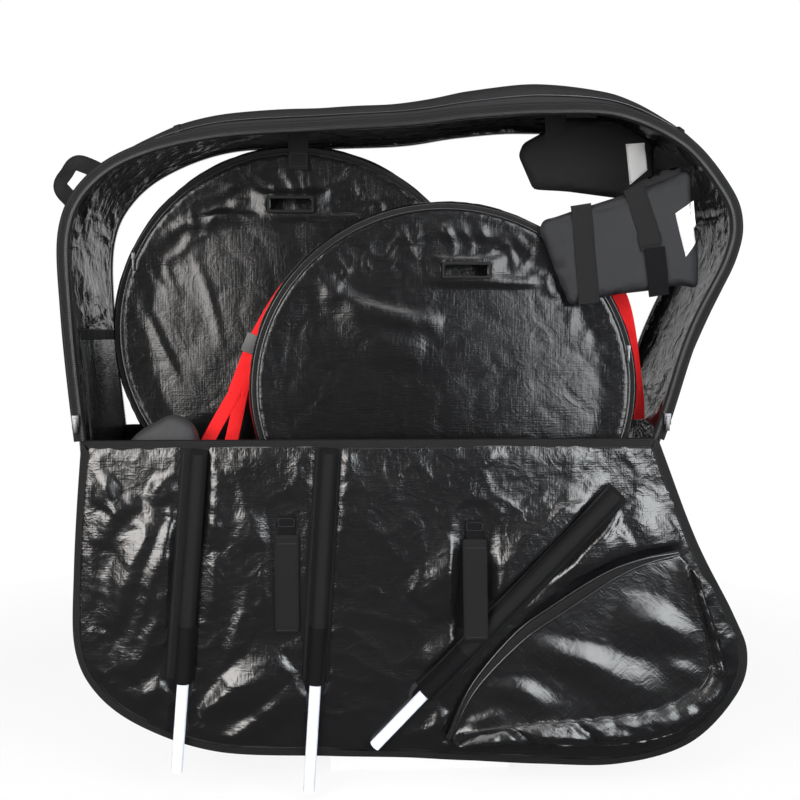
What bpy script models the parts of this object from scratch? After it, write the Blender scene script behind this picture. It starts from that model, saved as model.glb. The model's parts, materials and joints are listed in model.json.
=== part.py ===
"""Soft travel bag for a bicycle, standing upright on its base with both side panels unzipped.

The padded shell is an arch over a low tub. Each side panel hangs from the tub's top edge.
Inside are two round wheel bags, a tie-down strap, two handlebar pads and a parts pouch.
X runs along the bag, -Y is the front, Z is up, and the origin is under the middle of the base.
"""
import math

import bmesh
import bpy
from mathutils import Matrix, Vector

# Bag, with the arch's outline before its crown is tucked in
BAG_LENGTH = 1.265
BAG_HEIGHT = 0.951
BAG_DEPTH = 0.280
HINGE_HEIGHT = 0.2975

# Walls and running gaps
WALL = 0.012
LINING = 0.0015
CLEARANCE = 0.0003
EDGE_INSET = 0.070
STATION_SPACING = 0.052
STATION_SLACK_SHARE = 0.02
CURVE_STEPS = 24
ROUND_POWER = 3.0
ROUND_STEP_SHARES = (0.0, 0.42, 0.72, 1.0)
SHARP_DEGREES = 40

# Base
TRAY_THICKNESS = 0.0125
TRAY_EDGE_MARGIN = 0.002
TRAY_CORNER_RADIUS = 0.030
TRAY_CORNER_STEPS = 3
ROUND_PROFILE = 0.5
FLOOR_PAD_THICKNESS = 0.033

# Rollers in the base's right-hand end
ROLLER_RADIUS = 0.028
ROLLER_WIDTH = 0.026
ROLLER_SIDES = 24
ROLLER_SPACING = 0.150
ROLLER_GROUND_GAP = 0.003
ROLLER_SIDE_GAP = 0.001
AXLE_RADIUS = 0.004
HOUSING_WIDTH = 0.220
HOUSING_REACH = 0.0022
HOUSING_HEIGHT = 0.060
HOUSING_POCKET_GAP = 0.003
HOUSING_BEVEL = 0.004

# Zips
TAPE_WIDTH = 0.018
TAPE_THICKNESS = 0.0016
SLIDER_WIDTH = 0.012
SLIDER_LENGTH = 0.020
SLIDER_DEPTH = 0.007
SLIDER_ABOVE_HINGE = 0.036
PULL_WIDTH = 0.007
PULL_LENGTH = 0.026
PULL_DEPTH = 0.002

# Side panels
PANEL_SHELL = 0.0102
PANEL_OVERLAP = 0.020
BINDING_WIDTH = 0.017
BINDING_THICKNESS = 0.0028
HINGE_OFFSET = 0.0175

# Stiffening tubes and their sleeves
TUBE_RADIUS = 0.010
TUBE_WALL = 0.0015
TUBE_GAP = 0.0004
SLEEVE_WIDTH = 0.046
SLEEVE_CLOTH = 0.0016
SLEEVE_TOP_WIDTH = 0.026
TAIL_LENGTH = 0.088
TAIL_WIDTH = 0.030
PATCH_WIDTH = 0.034
PATCH_LENGTH = 0.100
TUBE_END_MARGIN = 0.020
ROUND_SIDES = 12

# Leg straps on the front panel
LEG_STRAP_THICKNESS = 0.006
LEG_STRAP_TOP_WIDTH = 0.035
LEG_STRAP_TOP_LENGTH = 0.036
LEG_STRAP_WIDTH = 0.050
LEG_STRAP_LENGTH = 0.196
LEG_STRAP_LEAN_DEGREES = 9.0

# Expanding pocket on the front panel
POCKET_SEAM_DEPTH = 0.0105
POCKET_EDGE_DEPTH = 0.044
POCKET_SWELL_SHARE = 0.62
POCKET_COLUMNS = 4
POCKET_WALL = 0.002
POCKET_HEM_SHARE = 0.04
POCKET_END_SHARE = 0.2
OUTLINE_STEPS = 2

# Wheel bags
WHEEL_BAG_RADIUS = 0.354
WHEEL_BAG_DEPTH = 0.062
WHEEL_COVER = 0.008
GUSSET_WALL = 0.007
WHEEL_BAG_SIDES = 40
SLOT_LENGTH = 0.078
SLOT_HEIGHT = 0.021
GRIP_RIM = 0.008
GRIP_THICKNESS = 0.0018
FRONT_WHEEL_BAG_X = 0.161
FRONT_WHEEL_BAG_BACK_Y = -0.039
REAR_WHEEL_BAG_X = -0.107
REAR_WHEEL_BAG_Z = 0.486
REAR_WHEEL_BAG_FRONT_Y = 0.008

# Webbing
HANGER_WIDTH = 0.038
HANGER_THICKNESS = 0.0020
HANGER_OVERLAP = 0.048
HANDLE_WIDTH = 0.040
HANDLE_THICKNESS = 0.0045
SIDE_HANDLE_RISE = 0.017
CARRY_LOOP_RISE = 0.055
TIE_WIDTH = 0.034
TIE_THICKNESS = 0.0020
TIE_STRAND_WIDTH = 0.024
TIE_STEPS = 3
MITRE_LIMIT_SHARE = 0.5

# Cam buckle
BUCKLE_LENGTH = 0.036
BUCKLE_RIM = 0.005
BUCKLE_PLATE = 0.0010
BUCKLE_BODY_DEPTH = 0.009
LEVER_LENGTH = 0.026
LEVER_DEPTH = 0.004
LEVER_WIDTH = 0.026

# Handlebar pads
PAD_THICKNESS = 0.020
PAD_ROUNDING = 0.004
PAD_STRAP_WIDTH = 0.040
PAD_STRAP_THICKNESS = 0.0016
REAR_PAD_Y = 0.020
REAR_PAD_DROP = 0.012
FRONT_PAD_STRAP_RISE_SHARES = (0.16, 0.58)
REAR_PAD_STRAP_RISE_SHARE = 0.25

# Pouch and inner pocket
POUCH_DEPTH = 0.060
POUCH_FRONT_Y = -0.112
POUCH_ROUNDING = 0.012
POUCH_SHARP_DEGREES = 50
INNER_POCKET_THICKNESS = 0.006

# Derived levels
HALF_DEPTH = BAG_DEPTH / 2
FLOOR_LEVEL = TRAY_THICKNESS + CLEARANCE
PAD_TOP = FLOOR_LEVEL + FLOOR_PAD_THICKNESS
PANEL_LINING_FACE = CLEARANCE + PANEL_SHELL + CLEARANCE + LINING
WALL_AND_LINING = WALL + CLEARANCE + LINING
WHEEL_BAG_FRONT_Y = FRONT_WHEEL_BAG_BACK_Y - WHEEL_BAG_DEPTH
FRONT_WHEEL_BAG_Z = PAD_TOP + CLEARANCE + WHEEL_BAG_RADIUS

# The arch, from the left end of the base over the top to the right end. Each row is a
# share of the outline's length, a share of its height above the base tray, the front and
# the rear edge's inset as shares of EDGE_INSET, the panel's overlap as a share of
# PANEL_OVERLAP, and how far the crown is tucked in from the outline as a share of
# EDGE_INSET.
CROWN_SHARES = (
    (-0.385, 0.000, 0.68, 0.68, 0.0, 0.000),
    (-0.409, 0.305, 0.66, 0.66, 0.0, 0.430),
    (-0.423, 0.541, 0.66, 0.66, 0.0, 0.445),
    (-0.421, 0.700, 0.64, 0.66, 0.1, 0.435),
    (-0.387, 0.803, 0.72, 0.64, 0.4, 0.435),
    (-0.316, 0.882, 0.88, 0.62, 0.9, 0.415),
    (-0.200, 0.936, 1.05, 0.60, 1.6, 0.290),
    (-0.040, 0.951, 1.02, 0.68, 1.4, 0.250),
    (0.071, 0.961, 1.02, 0.72, 1.2, 0.250),
    (0.158, 0.985, 1.15, 0.80, 0.9, 0.280),
    (0.263, 1.000, 1.22, 0.85, 0.9, 0.270),
    (0.379, 0.984, 1.10, 0.80, 1.3, 0.370),
    (0.484, 0.914, 1.00, 0.85, 2.4, 0.460),
    (0.552, 0.810, 0.96, 0.95, 2.6, 0.500),
    (0.577, 0.722, 0.94, 1.00, 2.0, 0.500),
    (0.567, 0.625, 0.94, 1.00, 1.1, 0.500),
    (0.519, 0.473, 1.02, 1.00, 0.8, 0.500),
    (0.462, 0.284, 0.80, 0.80, 0.1, 0.460),
    (0.375, 0.000, 0.70, 0.70, 0.0, 0.000),
)

# Sleeves on a side panel: top and bottom ends as shares of the bag's length and of the
# panel's drop below the hinge, the tube's side offset as a share of the sleeve's width,
# and the length of tube that shows as a share of the bag's length.
SLEEVE_SHARES = (
    ((-0.2195, 0.020), (-0.2470, 0.711), 0.20, 0.128),
    ((-0.0372, 0.020), (-0.0585, 0.722), 0.04, 0.156),
    ((0.3680, 0.157), (0.0980, 0.762), -0.05, 0.104),
)
SLEEVE_NAMES = ("left", "middle", "slanted")

# Half of the sleeve's tunnel, as shares of half its crest's width and of its height
CREST_SHARES = ((0.8, 0.75), (0.4, 1.0))

# Leg straps: x of the middle as a share of the bag's length, top as a share of the drop
LEG_STRAP_SHARES = ((-0.0960, 0.222), (0.1650, 0.240))
LEG_STRAP_NAMES = ("left", "right")

# The pocket's curved mouth and its outer side, as shares of the length and of the drop
POCKET_MOUTH_SHARES = (
    (0.130, 0.905), (0.160, 0.745), (0.221, 0.585), (0.274, 0.500),
    (0.345, 0.405), (0.400, 0.360), (0.452, 0.340),
)
POCKET_OUTER_SHARES = (
    (0.160, 0.915), (0.270, 0.925), (0.375, 0.930), (0.460, 0.890),
    (0.515, 0.800), (0.522, 0.690), (0.482, 0.425),
)

# Outlines inside the bag, as shares of its length and height
FRONT_PAD_SHARES = (
    (0.257, 0.710), (0.295, 0.739), (0.471, 0.811), (0.479, 0.753),
    (0.495, 0.607), (0.484, 0.590), (0.412, 0.580), (0.300, 0.557), (0.282, 0.620),
)
REAR_PAD_SHARES = (
    (0.246, 0.874), (0.275, 0.945), (0.400, 0.945), (0.452, 0.905),
    (0.459, 0.765), (0.267, 0.797),
)
FRONT_PAD_STRAP_SHARES = (0.318, 0.408)
REAR_PAD_STRAP_SHARES = (0.300, 0.375)
PAD_STRAP_NAMES = ("left", "right")
POUCH_SHARES = (
    (-0.336, 0.000), (-0.338, 0.270), (-0.312, 0.315), (-0.262, 0.352),
    (-0.235, 0.338), (-0.222, 0.306), (-0.216, 0.000),
)
TIE_SHARES = (
    (-0.175, 0.385), (-0.137, 0.511), (-0.080, 0.648), (0.000, 0.700), (0.130, 0.720),
    (0.270, 0.705), (0.346, 0.655), (0.391, 0.581), (0.4145, 0.400),
)
TIE_END_SHARE = 0.330
TIE_STRAND_SHARES = (
    ((-0.172, 0.398), (-0.214, 0.300), (-0.262, 0.170), (-0.304, 0.030)),
    ((-0.166, 0.400), (-0.182, 0.300), (-0.206, 0.170), (-0.232, 0.030)),
)
INNER_POCKET_SHARES = (0.055, 0.535)
SLOT_OFFSET_SHARES = ((0.107, 0.632), (-0.042, 0.684))
BUCKLE_SHARE = 0.25

# Handles: where each starts and ends along the crown, as shares of its length
CARRY_LOOP_SHARES = (0.2400, 0.2830)
LEFT_HANDLE_SHARES = (0.1980, 0.2370)
RIGHT_HANDLE_SHARES = (0.7430, 0.7790)
HANDLE_TAB_SHARE = 0.16
HANDLE_SHOULDER_SHARE = 0.62

# Finishes: base colour, roughness, metallic
FINISHES = {
    "outer_fabric": ((0.030, 0.030, 0.034, 1), 0.85, 0.0),
    "lining_tarp": ((0.014, 0.014, 0.016, 1), 0.28, 0.0),
    "webbing": ((0.022, 0.022, 0.024, 1), 0.75, 0.0),
    "pad_nylon": ((0.045, 0.047, 0.058, 1), 0.60, 0.0),
    "red_webbing": ((0.720, 0.012, 0.014, 1), 0.60, 0.0),
    "tube_white": ((0.800, 0.840, 0.900, 1), 0.30, 0.0),
    "zip_metal": ((0.060, 0.060, 0.065, 1), 0.35, 0.8),
    "moulded_plastic": ((0.020, 0.020, 0.022, 1), 0.50, 0.0),
    "rubber": ((0.025, 0.025, 0.025, 1), 0.80, 0.0),
    "steel": ((0.550, 0.560, 0.580, 1), 0.30, 1.0),
}


def material(slot):
    """The Principled material of one finish."""
    made = bpy.data.materials.get(slot)
    if made:
        return made
    colour, roughness, metallic = FINISHES[slot]
    made = bpy.data.materials.new(slot)
    made.use_nodes = True
    shader = made.node_tree.nodes["Principled BSDF"]
    shader.inputs["Base Color"].default_value = colour
    shader.inputs["Roughness"].default_value = roughness
    shader.inputs["Metallic"].default_value = metallic
    return made


def finish_mesh(name, bm, slot, smooth=False):
    """Turn a bmesh into a named object with its own material."""
    bmesh.ops.recalc_face_normals(bm, faces=bm.faces[:])
    mesh = bpy.data.meshes.new(name)
    bm.to_mesh(mesh)
    bm.free()
    made = bpy.data.objects.new(name, mesh)
    own = material(slot).copy()
    own.name = name + "_" + slot
    mesh.materials.append(own)
    bpy.context.scene.collection.objects.link(made)
    if smooth:
        mesh.shade_smooth()
        mesh.set_sharp_from_angle(angle=math.radians(SHARP_DEGREES))
    return made


def bevel_edges(made, width, angle_degrees=SHARP_DEGREES):
    """Take the sharp edges off an object with a live Bevel modifier."""
    bevel = made.modifiers.new("rounding", "BEVEL")
    bevel.width = width
    bevel.segments = 1
    bevel.limit_method = "ANGLE"
    bevel.angle_limit = math.radians(angle_degrees)
    return made


def cut(made, cutter):
    """Subtract a cutter, which stays in the file as a hidden guide."""
    cutter.hide_render = True
    cutter.display_type = "WIRE"
    boolean = made.modifiers.new("cut", "BOOLEAN")
    boolean.operation = "DIFFERENCE"
    boolean.solver = "EXACT"
    boolean.object = cutter
    return made


def bake(made):
    """Apply an object's modifiers to its mesh."""
    graph = bpy.context.evaluated_depsgraph_get()
    baked = bpy.data.meshes.new_from_object(made.evaluated_get(graph))
    made.modifiers.clear()
    made.data = baked
    return made


def plate(name, outline, y_low, y_high, slot):
    """A flat plate: an outline in X and Z, drawn at y_low and extruded to y_high."""
    bm = bmesh.new()
    corners = [bm.verts.new((x, y_low, z)) for x, z in outline]
    face = bm.faces.new(corners)
    grown = bmesh.ops.extrude_face_region(bm, geom=[face])
    moved = [item for item in grown["geom"] if isinstance(item, bmesh.types.BMVert)]
    bmesh.ops.translate(bm, verts=moved, vec=(0, y_high - y_low, 0))
    return finish_mesh(name, bm, slot)


def block(name, low, high, slot):
    """A rectangular block between two corners."""
    bm = bmesh.new()
    middle = [(a + b) / 2 for a, b in zip(low, high)]
    size = [b - a for a, b in zip(low, high)]
    bmesh.ops.create_cube(bm, size=1)
    bmesh.ops.scale(bm, verts=bm.verts[:], vec=size)
    bmesh.ops.translate(bm, verts=bm.verts[:], vec=middle)
    return finish_mesh(name, bm, slot)


def cylinder(name, start, end, radius, sides, slot):
    """A round bar from start to end."""
    bm = bmesh.new()
    along = Vector(end) - Vector(start)
    bmesh.ops.create_cone(bm, cap_ends=True, segments=sides, radius1=radius,
                          radius2=radius, depth=along.length)
    turned = along.to_track_quat("Z", "Y").to_matrix()
    bmesh.ops.rotate(bm, verts=bm.verts[:], matrix=turned)
    bmesh.ops.translate(bm, verts=bm.verts[:], vec=(Vector(start) + Vector(end)) / 2)
    return finish_mesh(name, bm, slot, smooth=True)


def unite(name, pieces):
    """Fuse overlapping solids into one body."""
    first = pieces[0]
    for other in pieces[1:]:
        union = first.modifiers.new("sewn", "BOOLEAN")
        union.operation = "UNION"
        union.solver = "EXACT"
        union.object = other
    bake(first)
    for other in pieces[1:]:
        bpy.data.objects.remove(other)
    first.name = name
    return first


def spline_point(rows, place):
    """A point on the smooth curve through rows, at a place counted in rows."""
    step = min(int(place), len(rows) - 2)
    t = place - step
    p1 = rows[step]
    p2 = rows[step + 1]
    p0 = rows[step - 1] if step else [2 * a - b for a, b in zip(p1, p2)]
    p3 = rows[step + 2] if step + 2 < len(rows) else [2 * b - a for a, b in zip(p1, p2)]
    return [
        b + 0.5 * t * (c - a + t * (2 * a - 5 * b + 4 * c - d + t * (3 * (b - c) + d - a)))
        for a, b, c, d in zip(p0, p1, p2, p3)
    ]


def sized(row):
    """Shares of the bag's length and height as a real place."""
    return (row[0] * BAG_LENGTH, FLOOR_LEVEL + row[1] * (BAG_HEIGHT - FLOOR_LEVEL))


def line_length(points):
    return sum(math.dist(a, b) for a, b in zip(points, points[1:]))


def make_stations():
    """The crown's stations: place, inward direction and the three edge sizes."""
    rows = [spline_point(CROWN_SHARES, index / CURVE_STEPS)
            for index in range(CURVE_STEPS * (len(CROWN_SHARES) - 1) + 1)]
    places = [sized(row) for row in rows]
    count = round(line_length(places) / STATION_SPACING)
    spacing = line_length(places) / count
    chosen = [0]
    walked = 0
    for index in range(1, len(places)):
        walked += math.dist(places[index - 1], places[index])
        if walked >= spacing * (len(chosen) - STATION_SLACK_SHARE):
            chosen.append(index)
    stations = []
    for index in chosen:
        before = places[max(index - 1, 0)]
        after = places[min(index + 1, len(places) - 1)]
        along = Vector((after[0] - before[0], after[1] - before[1])).normalized()
        inward = Vector((along.y, -along.x))
        tuck = rows[index][5] * EDGE_INSET
        stations.append({
            "place": Vector(places[index]) + inward * tuck,
            "inward": inward,
            "front": rows[index][2] * EDGE_INSET - tuck,
            "rear": rows[index][3] * EDGE_INSET - tuck,
            "overlap": rows[index][4] * PANEL_OVERLAP,
        })
    stations[0]["inward"] = Vector((1, 0))
    stations[-1]["inward"] = Vector((-1, 0))
    return stations


STATIONS = make_stations()


def crown_line(offset):
    """The crown moved inward by offset, as places in X and Z."""
    return [tuple(s["place"] + s["inward"] * offset) for s in STATIONS]


def edge_line(side, extra=0.0):
    """The front or rear edge of the arch, moved inward by extra."""
    return [tuple(s["place"] + s["inward"] * (s[side] + extra)) for s in STATIONS]


def height_cut(line, level, keep_above):
    """The part of an arch line above or below a level, cut exactly at the level."""
    left = []
    right = []
    top = max(range(len(line)), key=lambda index: line[index][1])
    for run, points in ((left, line[:top + 1]), (right, line[:top - 1:-1])):
        for a, b in zip(points, points[1:]):
            if not keep_above and a[1] <= level:
                run.append(a)
            if a[1] < level <= b[1]:
                share = (level - a[1]) / (b[1] - a[1])
                run.append((a[0] + share * (b[0] - a[0]), level))
            if keep_above and b[1] > level:
                run.append(b)
    return left, right


def x_at(line, level, left_side):
    """Where an arch line crosses a level on its left or right side."""
    left, right = height_cut(line, level, False)
    return left[-1][0] if left_side else right[-1][0]


def z_under(line, x):
    """The height of an arch line's top above x."""
    found = [a[1] + (x - a[0]) / (b[0] - a[0]) * (b[1] - a[1])
             for a, b in zip(line, line[1:]) if a[0] <= x < b[0]]
    return max(found)


def section(station, offset, steps=ROUND_STEP_SHARES):
    """Points across the shell at one station, at a depth below the outer skin."""
    points = []
    for step in [-share for share in steps[:0:-1]] + list(steps):
        across = math.sin(abs(step) * math.pi / 2) ** (2 / ROUND_POWER)
        fall = 1 - math.cos(abs(step) * math.pi / 2) ** (2 / ROUND_POWER)
        inset = station["front"] if step < 0 else station["rear"]
        depth = offset + (inset - offset) * fall
        flat = station["place"] + station["inward"] * depth
        y = math.copysign((HALF_DEPTH - offset) * across, step)
        points.append((flat.x, y, flat.y))
    return points


def ceiling_line(y):
    """The lining's inner face at a distance y from the middle, as places in X and Z."""
    line = []
    for station in STATIONS:
        points = section(station, WALL_AND_LINING)
        for a, b in zip(points, points[1:]):
            if a[1] <= y < b[1]:
                share = (y - a[1]) / (b[1] - a[1])
                line.append((a[0] + share * (b[0] - a[0]), a[2] + share * (b[2] - a[2])))
    return line


def ceiling(x_low, x_high, y):
    """The lowest height of the lining over a stretch of x."""
    line = ceiling_line(y)
    inside = [z for x, z in line if x_low < x < x_high and z > HINGE_HEIGHT]
    return min(inside + [z_under(line, x_low), z_under(line, x_high)])


def band(name, stations, outer, inner, slot, steps=ROUND_STEP_SHARES):
    """A closed skin between two depths, bridged from station to station."""
    bm = bmesh.new()
    loops = []
    for station in stations:
        ring = section(station, outer, steps) + section(station, inner, steps)[::-1]
        verts = [bm.verts.new(point) for point in ring]
        loops.append(verts)
    count = len(loops[0])
    for first, second in zip(loops, loops[1:]):
        for index in range(count):
            after = (index + 1) % count
            a, b, c, d = first[index], first[after], second[after], second[index]
            # Both faces are split along the same diagonal, so nested skins stay parallel
            if index < count // 2:
                bm.faces.new((a, b, c))
                bm.faces.new((a, c, d))
            else:
                bm.faces.new((a, b, d))
                bm.faces.new((b, c, d))
    bm.faces.new(loops[0])
    bm.faces.new(loops[-1])
    return finish_mesh(name, bm, slot, smooth=True)


def strip(name, outer_line, inner_line, y_low, y_high, slot):
    """A flat strip between two lines in X and Z."""
    return plate(name, list(outer_line) + list(inner_line)[::-1], y_low, y_high, slot)


def ribbon_outline(line, thickness):
    """A polyline thickened by half on each side."""
    left = []
    right = []
    for index, point in enumerate(line):
        before = Vector(line[max(index - 1, 0)])
        after = Vector(line[min(index + 1, len(line) - 1)])
        here = Vector(point)
        incoming = (here - before).normalized() if index else (after - here).normalized()
        outgoing = (after - here).normalized() if index < len(line) - 1 else incoming
        mitre = (incoming + outgoing).normalized()
        normal = Vector((-mitre.y, mitre.x))
        reach = thickness / 2 / max(mitre.dot(incoming), MITRE_LIMIT_SHARE)
        left.append(tuple(here + normal * reach))
        right.append(tuple(here - normal * reach))
    return left + right[::-1]


def smooth_line(points, steps):
    """A smooth curve through a few places."""
    return [tuple(spline_point(points, index / steps))
            for index in range(steps * (len(points) - 1) + 1)]


def side_sign(side):
    return -1 if side == "front" else 1


def along_y(side, near, far):
    """Two distances beyond the tub's face, as y from low to high."""
    places = [side_sign(side) * (HALF_DEPTH + near), side_sign(side) * (HALF_DEPTH + far)]
    return min(places), max(places)


# The shell, the tub and the base

def make_base_tray():
    left = STATIONS[0]["place"].x
    right = STATIONS[-1]["place"].x
    half = HALF_DEPTH - TRAY_EDGE_MARGIN
    tray = block("base_tray", (left, -half, 0), (right, half, TRAY_THICKNESS), "moulded_plastic")
    bm = bmesh.new()
    bm.from_mesh(tray.data)
    upright = [edge for edge in bm.edges
               if abs(edge.verts[0].co.z - edge.verts[1].co.z) > TRAY_THICKNESS / 2]
    bmesh.ops.bevel(bm, geom=upright, offset=TRAY_CORNER_RADIUS,
                    segments=TRAY_CORNER_STEPS, profile=ROUND_PROFILE, affect="EDGES")
    bm.to_mesh(tray.data)
    bm.free()


def make_floor_pad():
    left = edge_line("front", CLEARANCE)[0][0]
    right = edge_line("front", CLEARANCE)[-1][0]
    half = HALF_DEPTH - WALL - CLEARANCE
    block("floor_pad", (left, -half, FLOOR_LEVEL), (right, half, PAD_TOP), "lining_tarp")


def make_shell():
    band("shell_arch", STATIONS, 0, WALL, "outer_fabric")
    band("arch_lining", STATIONS, WALL + CLEARANCE, WALL_AND_LINING, "lining_tarp")


def make_tub_wall(side):
    line = edge_line(side, CLEARANCE)
    left, right = height_cut(line, HINGE_HEIGHT - CLEARANCE, False)
    y_low, y_high = along_y(side, -WALL, 0)
    plate("tub_" + side + "_wall", left + right[::-1], y_low, y_high, "outer_fabric")


def make_zip(side):
    outer = height_cut(edge_line(side, -TAPE_WIDTH), HINGE_HEIGHT, True)
    inner = height_cut(edge_line(side), HINGE_HEIGHT, True)
    y_low, y_high = along_y(side, CLEARANCE, CLEARANCE + TAPE_THICKNESS)
    outer_line = outer[0] + outer[1][-2::-1]
    inner_line = inner[0] + inner[1][-2::-1]
    strip(side + "_zip_tape", outer_line, inner_line, y_low, y_high, "webbing")


def make_slider(side, left_side):
    middle = x_at(edge_line(side, -TAPE_WIDTH / 2), HINGE_HEIGHT + SLIDER_ABOVE_HINGE, left_side)
    top = HINGE_HEIGHT + SLIDER_ABOVE_HINGE + SLIDER_LENGTH / 2
    body_near = CLEARANCE + TAPE_THICKNESS + CLEARANCE
    body_far = body_near + SLIDER_DEPTH
    y_low, y_high = along_y(side, body_near, body_far)
    body = block("slider_body", (middle - SLIDER_WIDTH / 2, y_low, top - SLIDER_LENGTH),
                 (middle + SLIDER_WIDTH / 2, y_high, top), "zip_metal")
    y_low, y_high = along_y(side, body_far - PULL_DEPTH / 2, body_far + PULL_DEPTH / 2)
    pull_top = top - SLIDER_LENGTH / 4
    pull = block("slider_pull", (middle - PULL_WIDTH / 2, y_low, pull_top - PULL_LENGTH),
                 (middle + PULL_WIDTH / 2, y_high, pull_top), "zip_metal")
    unite(side + "_zip_slider_" + ("left" if left_side else "right"), [body, pull])


def make_inner_pocket():
    low, high = INNER_POCKET_SHARES
    inner = [s for s in STATIONS
             if s["place"].x < 0 and low < s["place"].y / BAG_HEIGHT < high]
    depth = WALL_AND_LINING + CLEARANCE
    band("inner_pocket", inner, depth, depth + INNER_POCKET_THICKNESS, "webbing",
         steps=ROUND_STEP_SHARES[:-1])


def along_line(line, start, end):
    """The stretch of a line between two shares of its length, with its corners."""
    last = len(line) - 1
    first_place = start * last
    last_place = end * last
    points = []
    for place in (first_place, last_place):
        step = min(int(place), last - 1)
        near, far = Vector(line[step]), Vector(line[step + 1])
        points.append(tuple(near.lerp(far, place - step)))
    corners = [line[index] for index in range(len(line)) if first_place < index < last_place]
    return points[:1] + corners + points[1:]


def make_handle(name, shares, rise):
    """A webbing handle sewn to the crown at both ends and bowed out between them."""
    offset = -(CLEARANCE + HANDLE_THICKNESS / 2)
    start, end = shares
    tab = (end - start) * HANDLE_TAB_SHARE
    line = crown_line(offset)
    shoulder = crown_line(offset - rise * HANDLE_SHOULDER_SHARE)
    bow = along_line(line, start, start + tab)
    bow += along_line(shoulder, start + tab, start + 2 * tab)[:1]
    bow += along_line(crown_line(offset - rise), start + 2 * tab, end - 2 * tab)
    bow += along_line(shoulder, end - 2 * tab, end - tab)[-1:]
    bow += along_line(line, end - tab, end)
    outline = ribbon_outline(bow, HANDLE_THICKNESS)
    plate(name, outline, -HANDLE_WIDTH / 2, HANDLE_WIDTH / 2, "webbing")


# Rollers

def roller_centre():
    """The common axle's X and Z."""
    z = ROLLER_GROUND_GAP + ROLLER_RADIUS
    line = crown_line(0)
    clear = x_at(line, z + ROLLER_RADIUS, False)
    return clear + HOUSING_POCKET_GAP + ROLLER_RADIUS, z


def make_housing():
    """A bracket that fills the corner under the shell's leaning end."""
    line = crown_line(-CLEARANCE)
    low_x = STATIONS[-1]["place"].x + CLEARANCE
    top_x = x_at(line, HOUSING_HEIGHT, False)
    centre_x, centre_z = roller_centre()
    reach = centre_x + HOUSING_REACH
    outline = [(low_x, ROLLER_GROUND_GAP), (reach, ROLLER_GROUND_GAP),
               (reach + HOUSING_BEVEL, HOUSING_HEIGHT / 2), (reach, HOUSING_HEIGHT),
               (top_x, HOUSING_HEIGHT), (low_x, FLOOR_LEVEL)]
    housing = plate("roller_housing", outline, -HOUSING_WIDTH / 2, HOUSING_WIDTH / 2,
                    "moulded_plastic")
    for number, y in enumerate((-ROLLER_SPACING / 2, ROLLER_SPACING / 2)):
        half = ROLLER_WIDTH / 2 + ROLLER_SIDE_GAP
        start = (centre_x, y - half, centre_z)
        end = (centre_x, y + half, centre_z)
        pocket = cylinder("roller_pocket_" + str(number), start, end,
                          ROLLER_RADIUS + HOUSING_POCKET_GAP, ROLLER_SIDES, "rubber")
        cut(housing, pocket)
    start = (centre_x, -HOUSING_WIDTH, centre_z)
    end = (centre_x, HOUSING_WIDTH, centre_z)
    bore = cylinder("axle_bore", start, end, AXLE_RADIUS + CLEARANCE, ROUND_SIDES, "steel")
    cut(housing, bore)


def make_axle():
    centre_x, centre_z = roller_centre()
    half = HOUSING_WIDTH / 2
    cylinder("roller_axle", (centre_x, -half, centre_z), (centre_x, half, centre_z),
             AXLE_RADIUS, ROUND_SIDES, "steel")


def make_roller(name, y):
    centre_x, centre_z = roller_centre()
    half = ROLLER_WIDTH / 2
    start = (centre_x, y - half, centre_z)
    end = (centre_x, y + half, centre_z)
    roller = cylinder(name, start, end, ROLLER_RADIUS, ROLLER_SIDES, "rubber")
    over = (centre_x, y - ROLLER_WIDTH, centre_z)
    beyond = (centre_x, y + ROLLER_WIDTH, centre_z)
    bore = cylinder(name + "_bore", over, beyond, AXLE_RADIUS + CLEARANCE, ROUND_SIDES, "steel")
    cut(roller, bore)


# Side panels

def panel_line(side, inset=0.0):
    """A hanging panel's edge: the opening's edge and overlap, mirrored in the hinge line."""
    line = []
    for station in STATIONS:
        depth = station[side] - station["overlap"] + inset
        place = station["place"] + station["inward"] * depth
        line.append(tuple(place))
    left, right = height_cut(line, HINGE_HEIGHT + CLEARANCE, True)
    whole = left + right[-2::-1]
    return [(x, 2 * HINGE_HEIGHT - z) for x, z in whole]


def panel_drop(side):
    return HINGE_HEIGHT - min(z for x, z in panel_line(side))


def on_panel(side, row):
    """Shares of the bag's length and of the panel's drop as a real place."""
    return (row[0] * BAG_LENGTH, HINGE_HEIGHT - row[1] * panel_drop(side))


def make_panel(side):
    y_low, y_high = along_y(side, CLEARANCE, CLEARANCE + PANEL_SHELL)
    plate(side + "_panel_shell", panel_line(side), y_low, y_high, "outer_fabric")
    near = CLEARANCE + PANEL_SHELL + CLEARANCE
    y_low, y_high = along_y(side, near, near + LINING)
    plate(side + "_panel_lining", panel_line(side, BINDING_WIDTH + CLEARANCE), y_low, y_high,
          "lining_tarp")
    y_low, y_high = along_y(side, near, near + BINDING_THICKNESS)
    strip(side + "_panel_binding", panel_line(side), panel_line(side, BINDING_WIDTH),
          y_low, y_high, "webbing")


def panel_matrix(side, start, end):
    """A frame on a panel's lining: X across, Y out of the lining, Z from end up to start."""
    out = Vector((0, side_sign(side), 0))
    up = Vector((start[0] - end[0], 0, start[1] - end[1])).normalized()
    across = out.cross(up)
    frame = Matrix((across, out, up)).transposed().to_4x4()
    frame.translation = (end[0], side_sign(side) * (HALF_DEPTH + PANEL_LINING_FACE + CLEARANCE),
                         end[1])
    return frame


def placed(made, frame):
    made.data.transform(frame)
    return made


def tube_axis(share):
    """The tube's axis in its sleeve's frame: X and Y."""
    return -share * SLEEVE_WIDTH, SLEEVE_CLOTH + TUBE_GAP + TUBE_RADIUS


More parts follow.
